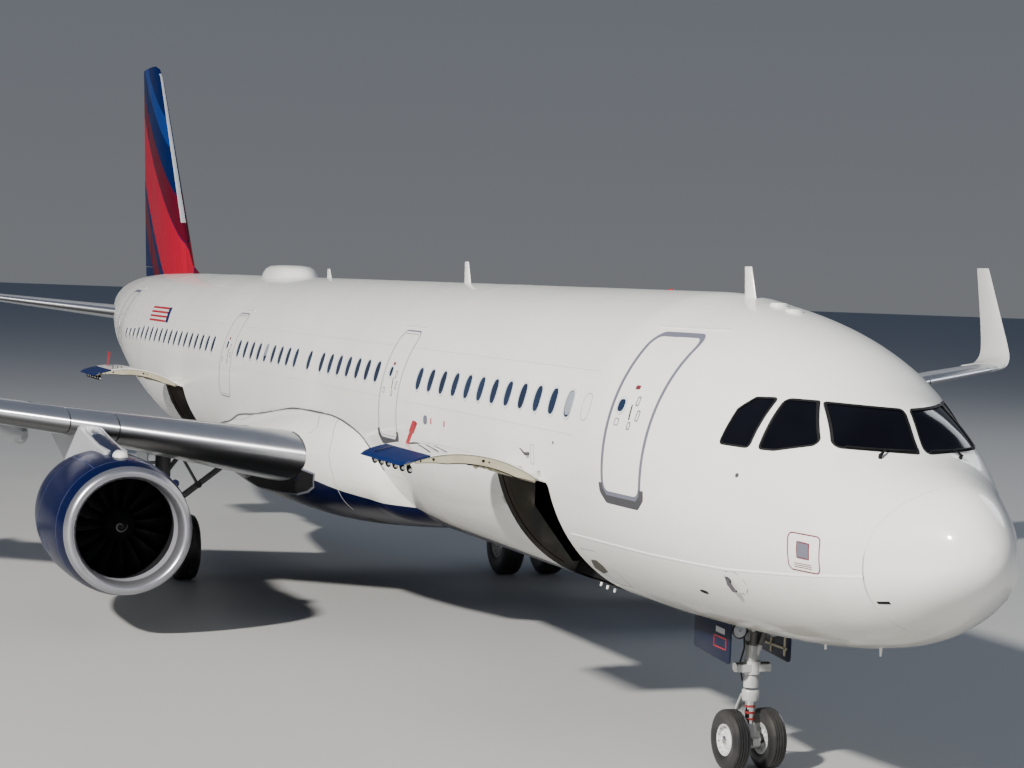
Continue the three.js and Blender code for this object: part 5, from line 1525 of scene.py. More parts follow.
def painted_dark_underside(material, soot=(0.10, 0.10, 0.105), low=-0.8, high=-0.1):
    """Darkens the underside of a bright metal: a painted reflection of dark ground beneath it."""
    tree, shader = material.node_tree, shader_of(material)
    before = shader.inputs["Base Color"].links[0].from_socket
    facing = add_node(
        tree, "ShaderNodeSeparateXYZ", Vector=tree.nodes.new("ShaderNodeNewGeometry").outputs["Normal"]
    )
    under = remap(tree, facing.outputs["Z"], low, high, 1.0, 0.0)
    tree.links.new(add_mix(tree, under, before, (*soot, 1)), shader.inputs["Base Color"])


# The slats' undersides carry a painted reflection of dark ground.
painted_dark_underside(slat_metal)
clear_lens = glossy_glass("lamp_lens", (0.35, 0.37, 0.40), 0.05)
SLATS = [(2.33, 5.27), (6.08, 8.88), (8.92, 11.48), (11.52, 14.06), (14.1, 16.58)]
FLAP_FAIRINGS = [(6.55, 21.1, 24.3), (9.55, 22.1, 25.1), (12.35, 23.2, 25.8)]
# out, up, leading edge, chord and lean of the sections that turn up from the tip
SHARKLET = np.array([
    [0.0, 0.0, 24.65, 1.62, 0], [0.38, 0.06, 24.9, 1.42, 22], [0.66, 0.3, 25.2, 1.24, 55],
    [0.8, 0.75, 25.6, 1.05, 76], [1.0, 2.42, 26.75, 0.5, 82]
])
for word, side in SIDES:
    part = lambda *a, **k: wing_part(*a, side=side, **k)
    flap_front = gapped(front_of_flap, -0.006)
    slat_back = gapped(SLAT_SHARE, 0.004)
    box = [
        part("root", (1.6, 2.19), 0, 1, grey_paint),
        part("inner", (2.19, 3.2, 4.3, 5.3, KINK), slat_back, flap_front, grey_paint),
        part("outer", (KINK, 9.7, 13.12), slat_back, flap_front, grey_paint),
        part("aileron_bay", (13.122, 16.316), slat_back, AILERON_SHARE, grey_paint, cove=True),
        part("tip", (16.318, 16.9), 0.152, 1, grey_paint),
        part("tip_nose", (16.61, 16.9), 0, 0.151, grey_paint),
    ]
    for y, s0, s1 in FLAP_FAIRINGS:
        _, lead, chord, z, _, fall = row_at(WING, y)
        z -= fall * ((s0 + s1) / 2 - lead) / chord + 0.24
        rings = []
        for u in (0.03, 0.06, 0.11, 0.18, 0.27, 0.38, 0.5, 0.62, 0.73, 0.82, 0.89, 0.94, 0.97):
            r = 0.19 * math.sin(math.pi * u**0.85) ** 0.6
            a = 2 * np.pi * np.arange(24) / 24
            rings.append(np.stack(
                [np.full(24, s0 + u * (s1 - s0)), side * (y + r * np.cos(a)), z + 1.35 * r * np.sin(a)], 1
            ))
        box.append(sharpen(loft_piece("fairing", rings, grey_paint)))
    dress(join(f"wing_{word}_box", box), f"wing_{word}")
    slats = [part("slat", (y0, (y0 + y1) / 2, y1), 0, SLAT_SHARE, slat_metal) for y0, y1 in SLATS]
    slats.append(part("pylon_nose", (5.29, 6.06), 0, SLAT_SHARE, slat_metal))
    slats.append(part("root_seal", (2.3, 2.325), 0, SLAT_SHARE, seal_black))
    dress(join(f"slats_{word}", slats), f"leading_edge_{word}")
    flaps = [
        part("flap", ys, gapped(front_of_flap, 0.006), 1, grey_paint)
        for ys in ((2.22, 3.6, 5.0, 6.38), (6.42, 9.7, 13.08))
    ]
    dress(join(f"flaps_{word}", flaps), f"flap_{word}")
    aileron = part(
        "aileron", (13.14 + END_ROOM, 14.7, 16.3 - END_ROOM), AILERON_SHARE, 1, grey_paint, nose=1.0
    )
    aileron.name = f"aileron_{word}_skin"
    dress(aileron, f"aileron_{word}", f"aileron_{word}")
    rings = []
    reach = np.array([0, 0.39, 0.76, 1.23, 2.91])
    for t in (*np.linspace(0, 1.23, 12), 1.5, 1.9, 2.35, 2.75, 2.91):
        out, up_by, lead, chord, lean = (
            float(monotone(reach, SHARKLET[:, c], np.array([t]))[0]) for c in range(5)
        )
        c, s = math.cos(math.radians(lean)), math.sin(math.radians(lean))
        shape = foil_outline(chord, 0.1, 0.01, 0, 1)
        rings.append(np.stack(
            [lead + shape[:, 0], side * (16.902 + out - shape[:, 1] * s), 4.36 + up_by + shape[:, 1] * c], 1
        ))
    sharklet = sharpen(loft_piece(f"sharklet_{word}_skin", rings, white_paint), 30)
    dress(sharklet, f"sharklet_{word}")
    lines, lights, black = [], [], []
    for y0, y1, x0 in ((2.5, 6.2, 0.62), (6.6, 8.6, 0.6), (8.64, 10.6, 0.6), (10.64, 12.6, 0.6)):
        back = gapped(front_of_flap, -0.02)
        edge = [(at_share(y, share), y) for y, share in ((y0, x0), (y1, x0), (y1, back(y1)), (y0, back(y0)))]
        lines.append(ribbon("spoiler_edge", edge, 0.02, line_grey, side, 0.002, gap=0.3, surface=on_wing))
    for y in (4.0, 7.8, 9.6, 11.4, 13.13, 15.0):
        lines.append(ribbon(
            "chord_joint", [(at_share(y, 0.17), y), (at_share(y, 0.58), y)], 0.012, line_grey, side, 0.002,
            False, 0.15, on_wing
        ))
        black.append(patch(
            "tank_door", oval(at_share(y + 0.5, 0.42), y + 0.5, 0.26, 0.16, 20, 1), line_grey, side, 0.003,
            under_wing
        ))
    walk = [(at_share(y, share), y) for y, share in ((3.0, 0.2), (6.6, 0.2), (6.6, 0.55), (3.0, 0.55))]
    lines.append(ribbon("wing_walk", walk, 0.05, seal_black, side, 0.002, gap=0.2, surface=on_wing))
    lines.append(ribbon(
        "slat_end", [(at_share(2.34, x), 2.34) for x in (0.002, 0.01, 0.03, 0.06, 0.1, 0.15)], 0.03,
        scuff_paint, side, 0.008, False, 0.04, on_wing
    ))
    lights.append(tube(
        "tip_lamp", [(24.86, side * 17.1, 4.385), (25.3, side * 17.26, 4.42)], [0.03, 0.045], clear_lens, 12
    ))
    dress(join(f"wing_{word}_joints", lines))
    dress(join(f"wing_{word}_doors", black))
    dress(join(f"wing_{word}_lamps", lights))
    wick = at_origin(tube("wick", [(0, 0, 0), (0.16, 0, 0)], [0.008, 0.003], sides=6))
    wicks = [
        (real(at_share(y, 1.0) - 0.01, side * y, row_at(WING, y)[3] - row_at(WING, y)[5]), (0, 0.05, 0))
        for y in (10.2, 11.3, 12.4, 16.5, 16.7)
    ]
    dress(repeated(f"static_wicks_{word}", wick, wicks, scuff_paint, 0.05))

# Engines
# A turbofan hangs ahead of each wing: a satin metal lip, a navy cowl in three parts, a fan, spinner, guide
# vanes and duct liner near black as painted shade of the deep inlet, with the spinner's white spiral painted
# dim grey in the same shade, a heat-tinted core nozzle with a plug, and a light grey pylon under a dark
# saddle that is a painted reflection of dark sky on its glossy top.
ENGINE = (15.2, 5.75, 1.76)  # the middle of the inlet lip
FAN_BLADES, VANES = 16, 46


def turned(name, rows, centre, material, closed=False, sides=96):
    """A shape turned about a fore-and-aft axis: rows are (aft, radius) in real metres."""
    a = 2 * np.pi * np.arange(sides) / sides
    rings = [
        np.stack([np.full(sides, centre[0] + x), centre[1] + r * np.cos(a), centre[2] + r * np.sin(a)], 1)
        for x, r in rows
    ]
    return sharpen(loft_piece(name, rings, material, hoop=closed), 30)


def along(rows, count):
    """A smooth run through rows (aft, radius) with more steps."""
    rows = np.array(rows)
    xs = np.linspace(rows[0, 0], rows[-1, 0], count)
    order = np.argsort(rows[:, 0])
    return [(x, float(monotone(rows[order, 0], rows[order, 1], np.array([x]))[0])) for x in xs]


lip_metal = painted(
    "lip_satin_metal", (0.44, 0.44, 0.48), dirt=(0.30, 0.29, 0.28), amount=0.3, gloss=0.27, metallic=0.85,
    coat=0
)
inlet_metal = painted(
    "inlet_inner_metal", (0.38, 0.38, 0.42), dirt=(0.25, 0.24, 0.23), amount=0.3, gloss=0.35, metallic=0.35,
    coat=0
)
# The duct, vanes, fan, spinner and spiral are darkened as painted shade of the deep inlet.
duct_in_painted_shade = painted(
    "duct_liner", (0.010, 0.010, 0.012), dirt=(0.02, 0.02, 0.02), amount=0.6, gloss=0.6, coat=0, shine=0.15
)
fan_in_painted_shade = painted(
    "fan_titanium", (0.007, 0.007, 0.009), dirt=(0.03, 0.03, 0.03), amount=0.3, gloss=0.4, metallic=0.3,
    coat=0, streak=12, shine=0.2
)
hot_metal = painted(
    "hot_nozzle_metal", (0.24, 0.20, 0.16), dirt=(0.08, 0.07, 0.09), amount=0.7, gloss=0.35, metallic=0.9,
    coat=0, streak=6
)
spiral_white = painted("spiral_white", (0.12, 0.12, 0.12), amount=0.3, gloss=0.5, coat=0)
seam_blue = painted("cowl_joint_blue", (0.02, 0.035, 0.12), amount=0.2, gloss=0.4, coat=0)
pylon_side = painted("pylon_light_grey", (0.46, 0.47, 0.50), amount=0.35, gloss=0.32, coat=0.1)
# The saddle's dark blue grey is a painted reflection of dark sky on the pylon's top.
pylon_saddle_reflection_paint = painted("pylon_blue_grey", (0.010, 0.014, 0.035), amount=0.25, gloss=0.2, coat=0, shine=0.3)
LINER_FROM = 0.56  # metres aft of the lip where the bright metal of the inlet gives way to its liner, painted near black as shade
LIP_OUT = [(0.16 * (1 - math.cos(u)), 0.93 + 0.1 * math.sin(u)) for u in np.linspace(0, math.pi / 2, 14)]
LIP_IN = [(0.26 * (1 - math.cos(u)), 0.93 - 0.105 * math.sin(u)) for u in np.linspace(0, math.pi / 2, 14)]
COWL_OUT = [
    (0.162, 1.03), (0.5, 1.088), (1.0, 1.118), (1.65, 1.128), (2.35, 1.108), (3.0, 1.035), (3.55, 0.935)
]
COWL_IN = [(0.262, 0.825), (0.5, 0.822), (0.85, 0.845), (1.4, 0.885), (2.15, 0.98), (3.55, 0.91)]
SPINNER = [
    (0.75, 0.012), (0.765, 0.045), (0.81, 0.1), (0.88, 0.17), (0.95, 0.235), (1.03, 0.285), (1.15, 0.31),
    (1.35, 0.32)
]
PYLON = [
    (16.5, 2.2), (16.5, 2.94), (17.3, 2.98), (18.1, 3.06), (18.85, 3.15), (19.4, 3.17), (21.6, 3.05),
    (22.0, 2.87), (20.6, 2.5), (19.7, 2.3), (19.2, 2.2)
]


def cowl_radius(x):
    aft, radius = np.array(COWL_OUT).T
    return float(monotone(aft, radius, np.array([min(max(x, aft[0]), aft[-1])]))[0])


def oval_rings(y, rows, sides):
    """Ovals across the aircraft at y: rows are (station, half width, half height, height of the middle)."""
    turn = np.linspace(0, 2 * math.pi, sides + 1)[:-1]
    return [np.array([(s, y + w * math.cos(t), z + h * math.sin(t)) for t in turn]) for s, w, h, z in rows]


# station, half width, half height and height of the middle of the saddle and of the cap
SADDLE = (
    (16.05, 0.02, 0.02, 2.84), (16.18, 0.09, 0.07, 2.84), (16.5, 0.14, 0.1, 2.87), (17.2, 0.16, 0.1, 2.93),
    (18.0, 0.17, 0.09, 3.0), (18.7, 0.16, 0.07, 3.1),
)
CAP = (
    (15.98, 0.02, 0.02, 2.87), (16.03, 0.1, 0.08, 2.87), (16.2, 0.13, 0.1, 2.875), (16.36, 0.08, 0.07, 2.9)
)
for word, side in SIDES:
    centre = (ENGINE[0], side * ENGINE[1], ENGINE[2])
    around_nacelle = lambda line, _, lift: np.array([
        (
            centre[0] + x, centre[1] + (cowl_radius(x) + lift) * math.cos(a),
            centre[2] + (cowl_radius(x) + lift) * math.sin(a)
        )
        for x, a in line
    ])
    lip = turned(f"inlet_lip_{word}_metal", LIP_OUT + LIP_IN[:0:-1], centre, lip_metal, True)
    dress(lip, f"inlet_lip_{word}")
    outer, inner = along(COWL_OUT, 34), along(COWL_IN, 24)
    cowl = turned(f"engine_cowl_{word}_skin", outer + inner[::-1], centre, navy_paint, True)
    cowl.data.materials.append(duct_in_painted_shade)
    cowl.data.materials.append(inlet_metal)
    for face in cowl.data.polygons:
        away = Vector((0, face.center.y - MODEL * centre[1], face.center.z - MODEL * centre[2]))
        inside, back = face.normal.dot(away) < 0, (HALF_LENGTH - face.center.x) / MODEL - centre[0]
        face.material_index = 0 if not inside else 2 if back < LINER_FROM else 1
    dress(cowl, f"engine_cowl_{word}")
    core_rows = along([(1.7, 0.44), (2.35, 0.58), (3.15, 0.61), (4.55, 0.4)], 24)
    core = turned("core", [(1.67, 0.3), *core_rows, (4.55, 0.36), (4.45, 0.34)], centre, hot_metal)
    plug = turned("plug", along([(4.44, 0.26), (4.75, 0.2), (5.28, 0.02)], 12), centre, hot_metal)
    dress(join(f"engine_core_{word}_nozzle", [core, plug]), f"engine_core_{word}")
    vane = [
        np.array([
            (1.72, -0.22 * r - 0.01, r), (2.02, 0.2 * r, r), (2.02, 0.2 * r + 0.015, r),
            (1.72, -0.22 * r + 0.005, r)
        ])
        for r in (0.4, 0.98)
    ]
    vane = at_origin(loft_piece("vane", vane))
    hub = real(*centre)
    vanes = [(hub, (2 * math.pi * i / VANES, 0, 0)) for i in range(VANES)]
    dress(repeated(f"guide_vanes_{word}", vane, vanes, duct_in_painted_shade))
    rings = []
    for r in np.linspace(0.24, 0.838, 9):
        u = (r - 0.24) / 0.6
        twist, half = math.radians(34 + 27 * u), 0.10 + 0.05 * u
        sweep = 0.05 * math.sin(math.pi * u)
        rows = []
        for q, w in [(-1, 0), (-0.5, 1), (0.2, 0.9), (1, 0), (0.2, -0.4), (-0.5, -0.3)]:
            chordwise, thick = q * half, w * 0.012 * (1.2 - 0.7 * u) + 0.02 * (1 - q * q) * u
            aft, sideways = chordwise * math.cos(twist) - thick * math.sin(twist), chordwise * math.sin(
                twist
            ) + thick * math.cos(
                twist
            )
            rows.append((1.11 + aft - sweep * 0.6, r * math.sin(sideways / r), r * math.cos(sideways / r)))
        rings.append(np.array(rows))
    blade = at_origin(sharpen(loft_piece("blade", rings), 30))
    blades = [(hub, (2 * math.pi * i / FAN_BLADES, 0, 0)) for i in range(FAN_BLADES)]
    fan = f"fan_{word}"
    dress(repeated(f"fan_{word}_blades", blade, blades, fan_in_painted_shade), fan, fan)
    dress(turned(f"spinner_{word}", SPINNER, centre, fan_in_painted_shade, sides=48), body=fan)
    aft, radius = np.array(SPINNER).T
    swirl = [
        (
            centre[0] + (float(np.interp(r, radius, aft)) - 0.004), centre[1] + r * math.cos(a),
            centre[2] + r * math.sin(a)
        )
        for r, a in zip(np.linspace(0.02, 0.12, 26), np.linspace(0.6, 6.4, 26))
    ]
    widths = [0.004 + 0.009 * math.sin(math.pi * k / 25) for k in range(26)]
    dress(tube(f"spinner_spiral_{word}", swirl, widths, spiral_white, 8), body=fan)
    seams = [
        ribbon(
            "cowl_joint", [(x, math.radians(d)) for d in (-268, 88)], 0.016, seam_blue, 1, 0.003, False,
            0.05, around_nacelle
        )
        for x in (0.5, 2.0)
    ]
    for d in (-90, 62, 118):
        seams.append(ribbon(
            "cowl_joint", [(0.52, math.radians(d)), (3.45, math.radians(d))], 0.012, seam_blue, 1, 0.003,
            False, 0.1, around_nacelle
        ))
    for d in (-20, -160):
        seams.append(ribbon(
            "cowl_door",
            [(1.55 + x, math.radians(d) + a) for x, a in ((0, -0.1), (0.3, -0.1), (0.3, 0.1), (0, 0.1))],
            0.01, seam_blue, 1, 0.003, surface=around_nacelle
        ))
    dress(join(f"cowl_joints_{word}", seams))
    a = math.radians(149 if side > 0 else 31)
    out = lambda x, lift: tuple(around_nacelle([(x, a)], 1, lift)[0])
    fin_line = [out(1.15, 0.0), out(1.3, 0.1), out(1.5, 0.15), out(1.75, 0.15), out(1.9, 0.0)]
    spread = np.array([0, -math.sin(a), math.cos(a)]) * 0.012
    strake = loft_piece(
        f"nacelle_strake_{word}", [np.array(fin_line) + spread * k for k in (-1, 1)], navy_paint, False
    )
    dress(strake)
    pylon_rings = []
    for off, shrink in ((-0.2, 0.0), (-0.17, 1.0), (0.17, 1.0), (0.2, 0.0)):
        edge = 1 - shrink
        pylon_rings.append(np.array([
            (s + (0.05 * edge if s < 17 else 0), centre[1] + off, z - 0.03 * edge * (1 if 2.8 < z else 0))
            for s, z in PYLON
        ]))
    pylon = sharpen(loft_piece("pylon", pylon_rings, pylon_side), 30)
    splitter = boxed("duct_splitter", 16.49, 18.3, centre[1] - 0.206, centre[1] + 0.206, 2.19, 2.72)
    dress(
        join(f"pylon_{word}_skin", [pylon, finish_with(splitter, duct_in_painted_shade)]), f"pylon_{word}"
    )
    # A dark blue grey saddle runs up the pylon's spine from the cowl to the slat, a painted reflection of
    # dark sky on the pylon's glossy top, with a small white cap at its foot.
    saddle = loft_piece(f"pylon_{word}_saddle", oval_rings(centre[1], SADDLE, 24), pylon_saddle_reflection_paint)
    dress(saddle)
    dress(loft_piece(f"pylon_{word}_cap", oval_rings(centre[1], CAP, 16), white_paint))

# Aerials and roof
# A long flat-topped radome sits on the roof behind the wing, with a row of rivets round its skirt. Blade
# aerials stand before and under it, and a red beacon sits on the roof and one on the belly.
DOME_S, DOME_RIVETS = 27.05, 54
dome_rings = []
for lift, share in (
    (-0.12, 1.08), (-0.01, 1.08), (0.02, 1.05), (0.045, 1.01), (0.16, 0.95), (0.25, 0.86), (0.31, 0.7),
    (0.335, 0.4)
):
    a = 2 * np.pi * np.arange(64) / 64
    c, s = np.cos(a), np.sin(a)
    along_s = DOME_S - 1.35 * share * np.sign(c) * np.abs(c) ** 0.8
    across = 0.5 * share * np.sign(s) * np.abs(s) ** 0.85 * np.where(
        c > 0, 1 - 0.25 * np.abs(c) ** 3, 1 - 0.1 * np.abs(c) ** 3
    )
    dome_rings.append(np.stack(
        [along_s, across, np.full(64, 5.82 + lift) + (0 if lift > 0.02 else -0.06 * across**2)], 1
    ))
dome = sharpen(loft_piece("aerial_dome_shell", dome_rings, white_paint))
dress(dome, "aerial_dome")
rivet = at_origin(tube("rivet", [(0, 0, 0), (0, 0, 0.012)], 0.014, sides=8))
rivets = []
for k in range(DOME_RIVETS):
    a = 2 * math.pi * k / DOME_RIVETS
    c, s = math.cos(a), math.sin(a)
    y = 0.53 * math.copysign(abs(s) ** 0.85, s) * (1 - (0.25 if c > 0 else 0.1) * abs(c) ** 3)
    rivets.append((real(DOME_S - 1.43 * math.copysign(abs(c) ** 0.8, c), y, 5.835), (0, 0, 0)))
dress(repeated("dome_rivets", rivet, rivets, line_grey, 0.02))
blades = []
for s, z0, z1, sweep in ((5.5, 5.74, 6.24, 0.12), (15.75, 5.86, 6.27, 0.1), (24.0, 5.86, 6.1, 0.1)):
    rings = []
    for u in np.linspace(0, 1, 7):
        half, lead = 0.17 * (1 - 0.45 * u), s - 0.17 + sweep * u * 1.6
        shape = foil_outline(2 * half, 0.14, 0, 0, 1, count=12)
        rings.append(np.stack([lead + shape[:, 0], shape[:, 1], np.full(len(shape), z0 + u * (z1 - z0))], 1))
    blades.append(loft_piece("blade_aerial", rings, white_paint))
for s, z0, z1 in ((27.9, 1.86, 1.46), (12.6, 1.84, 1.7)):
    rings = []
    for u in np.linspace(0, 1, 5):
        shape = foil_outline(0.3 * (1 - 0.4 * u), 0.14, 0, 0, 1, count=12)
        rings.append(np.stack(
            [s + 0.12 * u + shape[:, 0], shape[:, 1], np.full(len(shape), z0 + u * (z1 - z0))], 1
        ))
    blades.append(loft_piece("belly_aerial", rings, white_paint))
blades += [
    tube("satellite_disc", [(s, 0, z), (s, 0, z + 0.07)], [0.13, 0.1], white_paint, 24)
    for s, z in ((4.78, 5.73), (4.4, 5.66))
]
blades += [
    tube("nose_mast", [(s, 0, z), (s, 0, z - 0.12)], [0.02, 0.012], white_paint, 10)
    for s, z in ((3.3, 1.93), (2.1, 2.06))
]
dress(join("blade_aerials", blades))
beacon_red = painted("beacon_red", (0.5, 0.02, 0.015), amount=0.1, gloss=0.1, coat=1)
beacons = [
    turned(
        "beacon", [(0, 0.01), (0.01, 0.035), (0.035, 0.05), (0.07, 0.055)], (0, 0, 0), beacon_red, sides=24
    )
    for _ in range(2)
]
for piece, place_at, tilt in zip(beacons, ((7.8, 0, 5.93), (20.5, 0, 1.46)), (-90, 90)):
    at_origin(piece).data.transform(Matrix.Rotation(math.radians(tilt), 4, "Y"))
    piece.data.transform(Matrix.Translation(real(*place_at)))
dress(join("beacons", beacons))

# Tail
# The fin is painted royal blue with slanted bands of red and dark red. A narrow strip of bare metal runs up
# its leading edge from a fillet at its foot, narrowed to the width of its highlight, so it is partly real
# metal and partly a painted highlight. The tailplane is grey with a metal leading edge.
# columns: height, leading edge station, chord, thickness share
FIN = np.array([
    [5.45, 36.45, 5.95, 0.11], [6.2, 37.0, 5.6, 0.11], [11.35, 41.2, 2.42, 0.1], [11.65, 41.65, 2.06, 0.09],
    [11.76, 42.1, 1.6, 0.06]
])
# columns: y, leading edge station, chord, height, thickness share
TAILPLANE = np.array([
    [0.6, 38.85, 4.3, 4.68, 0.1], [0.95, 39.25, 3.85, 4.74, 0.1], [6.12, 42.42, 1.42, 5.2, 0.09],
    [6.22, 42.7, 1.05, 5.21, 0.06]
])
RUDDER_FOOT, RUDDER_HEAD = (6.02, 40.75, 0.202), (11.4, 42.82, 0.08)


def rudder_hinge(z):
    u = (z - RUDDER_FOOT[0]) / (RUDDER_HEAD[0] - RUDDER_FOOT[0])
    return [a + u * (b - a) for a, b in zip(RUDDER_FOOT[1:], RUDDER_HEAD[1:])]


def fin_part(name, zs, x0, x1, material, nose=False, cove=False, grow=0.0):
    """A piece of the fin between heights; None as a share stands for the rudder's hinge."""
    rings = []
    for z in zs:
        _, lead, chord, share = row_at(FIN, z)
        hinge, r = rudder_hinge(z)
        a, b = ((hinge - lead) / chord if v is None else v for v in (x0, x1))
        shape = foil_outline(chord, share, 0, a, b, r if nose else 0, r + 1.4 * MOVING_GAP if cove else 0)
        shape[:, 1] += grow * np.sign(shape[:, 1])
        rings.append(np.stack([lead - grow + shape[:, 0], shape[:, 1], np.full(len(shape), z)], 1))
    return sharpen(loft_piece(name, rings, material), 30)


def tail_part(name, ys, x0, x1, material, side, nose=0.0, cove=False):
    rings = []
    for y in ys:
        _, lead, chord, z, share = row_at(TAILPLANE, y)
        radius = 0.97 * half_thickness(0.68, share) * chord
        shape = foil_outline(chord, share, 0, x0, x1, radius * nose, radius + MOVING_GAP if cove else 0)
        rings.append(np.stack([lead + shape[:, 0], np.full(len(shape), side * y), z + shape[:, 1]], 1))
    return sharpen(loft_piece(name, rings, material), 30)


def fin_finish():
    """Royal blue with slanted bands of red, dark red and pale blue, parted by straight edges."""
    material, tree, shader = node_material("fin_bands", NAVY, 0.3, 0.0, 0.0)
    shader.inputs["Specular IOR Level"].default_value = 0.05
    split = add_node(tree, "ShaderNodeSeparateXYZ", Vector=object_coordinates(tree))
    colour = (0.002, 0.009, 0.06, 1)
    red, dark, lighter = (0.34, 0.006, 0.025, 1), (0.085, 0.004, 0.014, 1), (0.005, 0.03, 0.16, 1)
    bands = [(-1.75, 0.8, red), (-1.19, 0.3, dark), (-2.5, 0.36, dark), (-0.6, 0.22, lighter)]
    slant = add_maths(tree, "MULTIPLY_ADD", split.outputs["X"], 0.62, split.outputs["Z"])
    for middle, width, tint in bands:
        colour = add_mix(tree, add_maths(tree, "COMPARE", slant, middle, width / 2), colour, tint)
    noise = add_node(tree, "ShaderNodeTexNoise", Vector=object_coordinates(tree), Scale=3.0)
    feed(tree, shader, {"Roughness": remap(tree, noise.outputs[0], 0, 1, 0.22, 0.42), "Base Color": colour})
    return material


fin_bands = fin_finish()
fin_edge_highlight_metal = painted(
    "fin_edge_metal", (0.72, 0.73, 0.76), dirt=(0.4, 0.4, 0.4), amount=0.15, gloss=0.3, metallic=0.5, coat=0
)
fin_pieces = [
    fin_part("foot", (5.5, 6.0, 6.04), 0.045, 0.99, fin_bands),
    fin_part("box", (6.04, 7.5, 9.0, 10.5, 11.36), 0.045, None, fin_bands, cove=True),
    fin_part("cap", (11.36, 11.55, 11.65, 11.72, 11.755), 0.045, 1, fin_bands),
    fin_part("leading_edge", (5.9, 6.6, 7.25, 9.0, 11.35, 11.5, 11.6), 0, 0.043, fin_bands),
    # The bright edge is real bare metal narrowed to the width of its painted highlight.
    fin_part("metal_edge", (7.25, 9.0, 11.35, 11.5), 0, 0.005, fin_edge_highlight_metal, grow=0.006),
    fin_part("cap_edge", (11.602, 11.65, 11.72, 11.755), 0, 0.044, fin_bands),
]
fillet = []
for z, s0, half in (
    (5.62, 35.3, 0.1), (5.9, 35.75, 0.09), (6.12, 36.6, 0.075), (6.5, 37.12, 0.06), (6.8, 37.42, 0.05)
):
    end = row_at(FIN, z)[1] + 0.3
    a = np.linspace(0, 1, 10)
    grow = half * np.sqrt(np.sin(a * math.pi / 2)) + 0.004
    rows = np.concatenate([
        np.stack([s0 + a * (end - s0), grow], 1), np.stack([s0 + a * (end - s0), -grow], 1)[::-1]
    ])
    fillet.append(np.stack([rows[:, 0], rows[:, 1], np.full(len(rows), z)], 1))
fin_pieces.append(sharpen(loft_piece("fillet", fillet, fin_bands), 30))
dress(join("fin_skin", fin_pieces), "fin")
rudder = fin_part("rudder_skin", (6.056, 7.5, 9.0, 10.5, 11.364), None, 1, fin_bands, nose=True)
dress(rudder, "rudder", "rudder")
tail_pieces = []
for word, side in SIDES:
    tail_pieces += [
        tail_part("root", (0.6, 0.95, 1.002), 0.05, 0.9, grey_paint, side),
        tail_part("box", (1.004, 2.5, 4.0, 5.866), 0.05, 0.68, grey_paint, side, cove=True),
        tail_part("tip", (5.868, 6.12, 6.18, 6.219), 0.05, 1, grey_paint, side),
        tail_part("leading_edge", (0.75, 0.95, 3.5, 6.1), 0, 0.048, slat_metal, side),
        tail_part("tip_edge", (6.102, 6.18, 6.219), 0, 0.049, grey_paint, side),
    ]
    elevator = tail_part(
        f"elevator_{word}_skin", (1.02 + 0.018, 3.4, 5.85 - 0.018), 0.68, 1, grey_paint, side, nose=1.0
    )
    dress(elevator, f"elevator_{word}", f"elevator_{word}")
    plate = [(38.6, 4.1), (39.2, 5.35), (42.6, 5.3), (43.4, 4.9), (43.2, 4.55), (41.0, 4.2)]
    tail_pieces.append(ribbon("scrape_plate", plate, 0.014, line_grey, side, 0.003))
dress(join("tailplane_skin", tail_pieces), "tailplane")
outlet = turned(
    "outlet", [(44.02, 0.12), (44.5, 0.085), (44.505, 0.07), (44.3, 0.065)], (0, 0, 4.86), hot_metal,
    sides=32
)
dress(outlet)
tail_lines = [
    ribbon("tail_joint", ring_line(s), 0.014, line_grey, 1, 0.002, False, surface=by_angle)
    for s in (33.6, 36.2, 42.4)
]
for side in (1, -1):
    tail_lines.append(ribbon(
        "tail_door", rounded_outline([(41.2, 3.35), (42.6, 3.55), (42.6, 3.95), (41.2, 3.8)], 0.06, 0, 4),
        0.012, line_grey, side, 0.003
    ))
dress(join("tail_joints", tail_lines))

# Landing gear
# Three legs, each with twin wheels. The nose leg has a steering collar, two braces, taxi lamps, a chrome
# piston with dark red bands, torque links and a tow lug. The main legs have a side stay, a retracting ram,
# torque links, brake hoses and a leg door.


def wheel(name, rows, centre, material, sides=64, closed=True):
    """A ring turned about an axle across the aircraft: rows are (across, radius) in real metres."""
    a = 2 * np.pi * np.arange(sides) / sides
    rings = [
        np.stack([centre[0] + r * np.cos(a), np.full(sides, centre[1] + w), centre[2] + r * np.sin(a)], 1)
        for w, r in rows
    ]
    return sharpen(loft_piece(name, rings, material, hoop=closed), 35)


def rod(name, *path, r=0.03, material=None, sides=20):
    return tube(name, path, r, material, sides)


rubber = painted(
    "tyre_rubber", (0.014, 0.014, 0.015), dirt=(0.12, 0.11, 0.10), amount=0.45, gloss=0.42, coat=0.1,
    grain=0.05
)
rim_white = painted(
    "rim_white", (0.66, 0.67, 0.66), dirt=(0.12, 0.10, 0.08), amount=0.55, gloss=0.35, coat=0.2
)
gear_grey = painted(
    "gear_grey", (0.50, 0.51, 0.51), dirt=(0.10, 0.085, 0.07), amount=0.6, gloss=0.35, coat=0.2
)
chrome = painted(
    "strut_chrome", (0.72, 0.72, 0.73), dirt=(0.25, 0.22, 0.2), amount=0.15, gloss=0.08, metallic=1.0, coat=0
)
dark_steel = painted(
    "dark_steel", (0.07, 0.07, 0.072), dirt=(0.16, 0.13, 0.10), amount=0.6, gloss=0.45, metallic=0.6, coat=0
)
hose_black = painted("hose_black", (0.012, 0.012, 0.013), amount=0.2, gloss=0.5, coat=0)
band_red = painted("strut_band_red", (0.22, 0.012, 0.012), amount=0.3, gloss=0.4, coat=0)
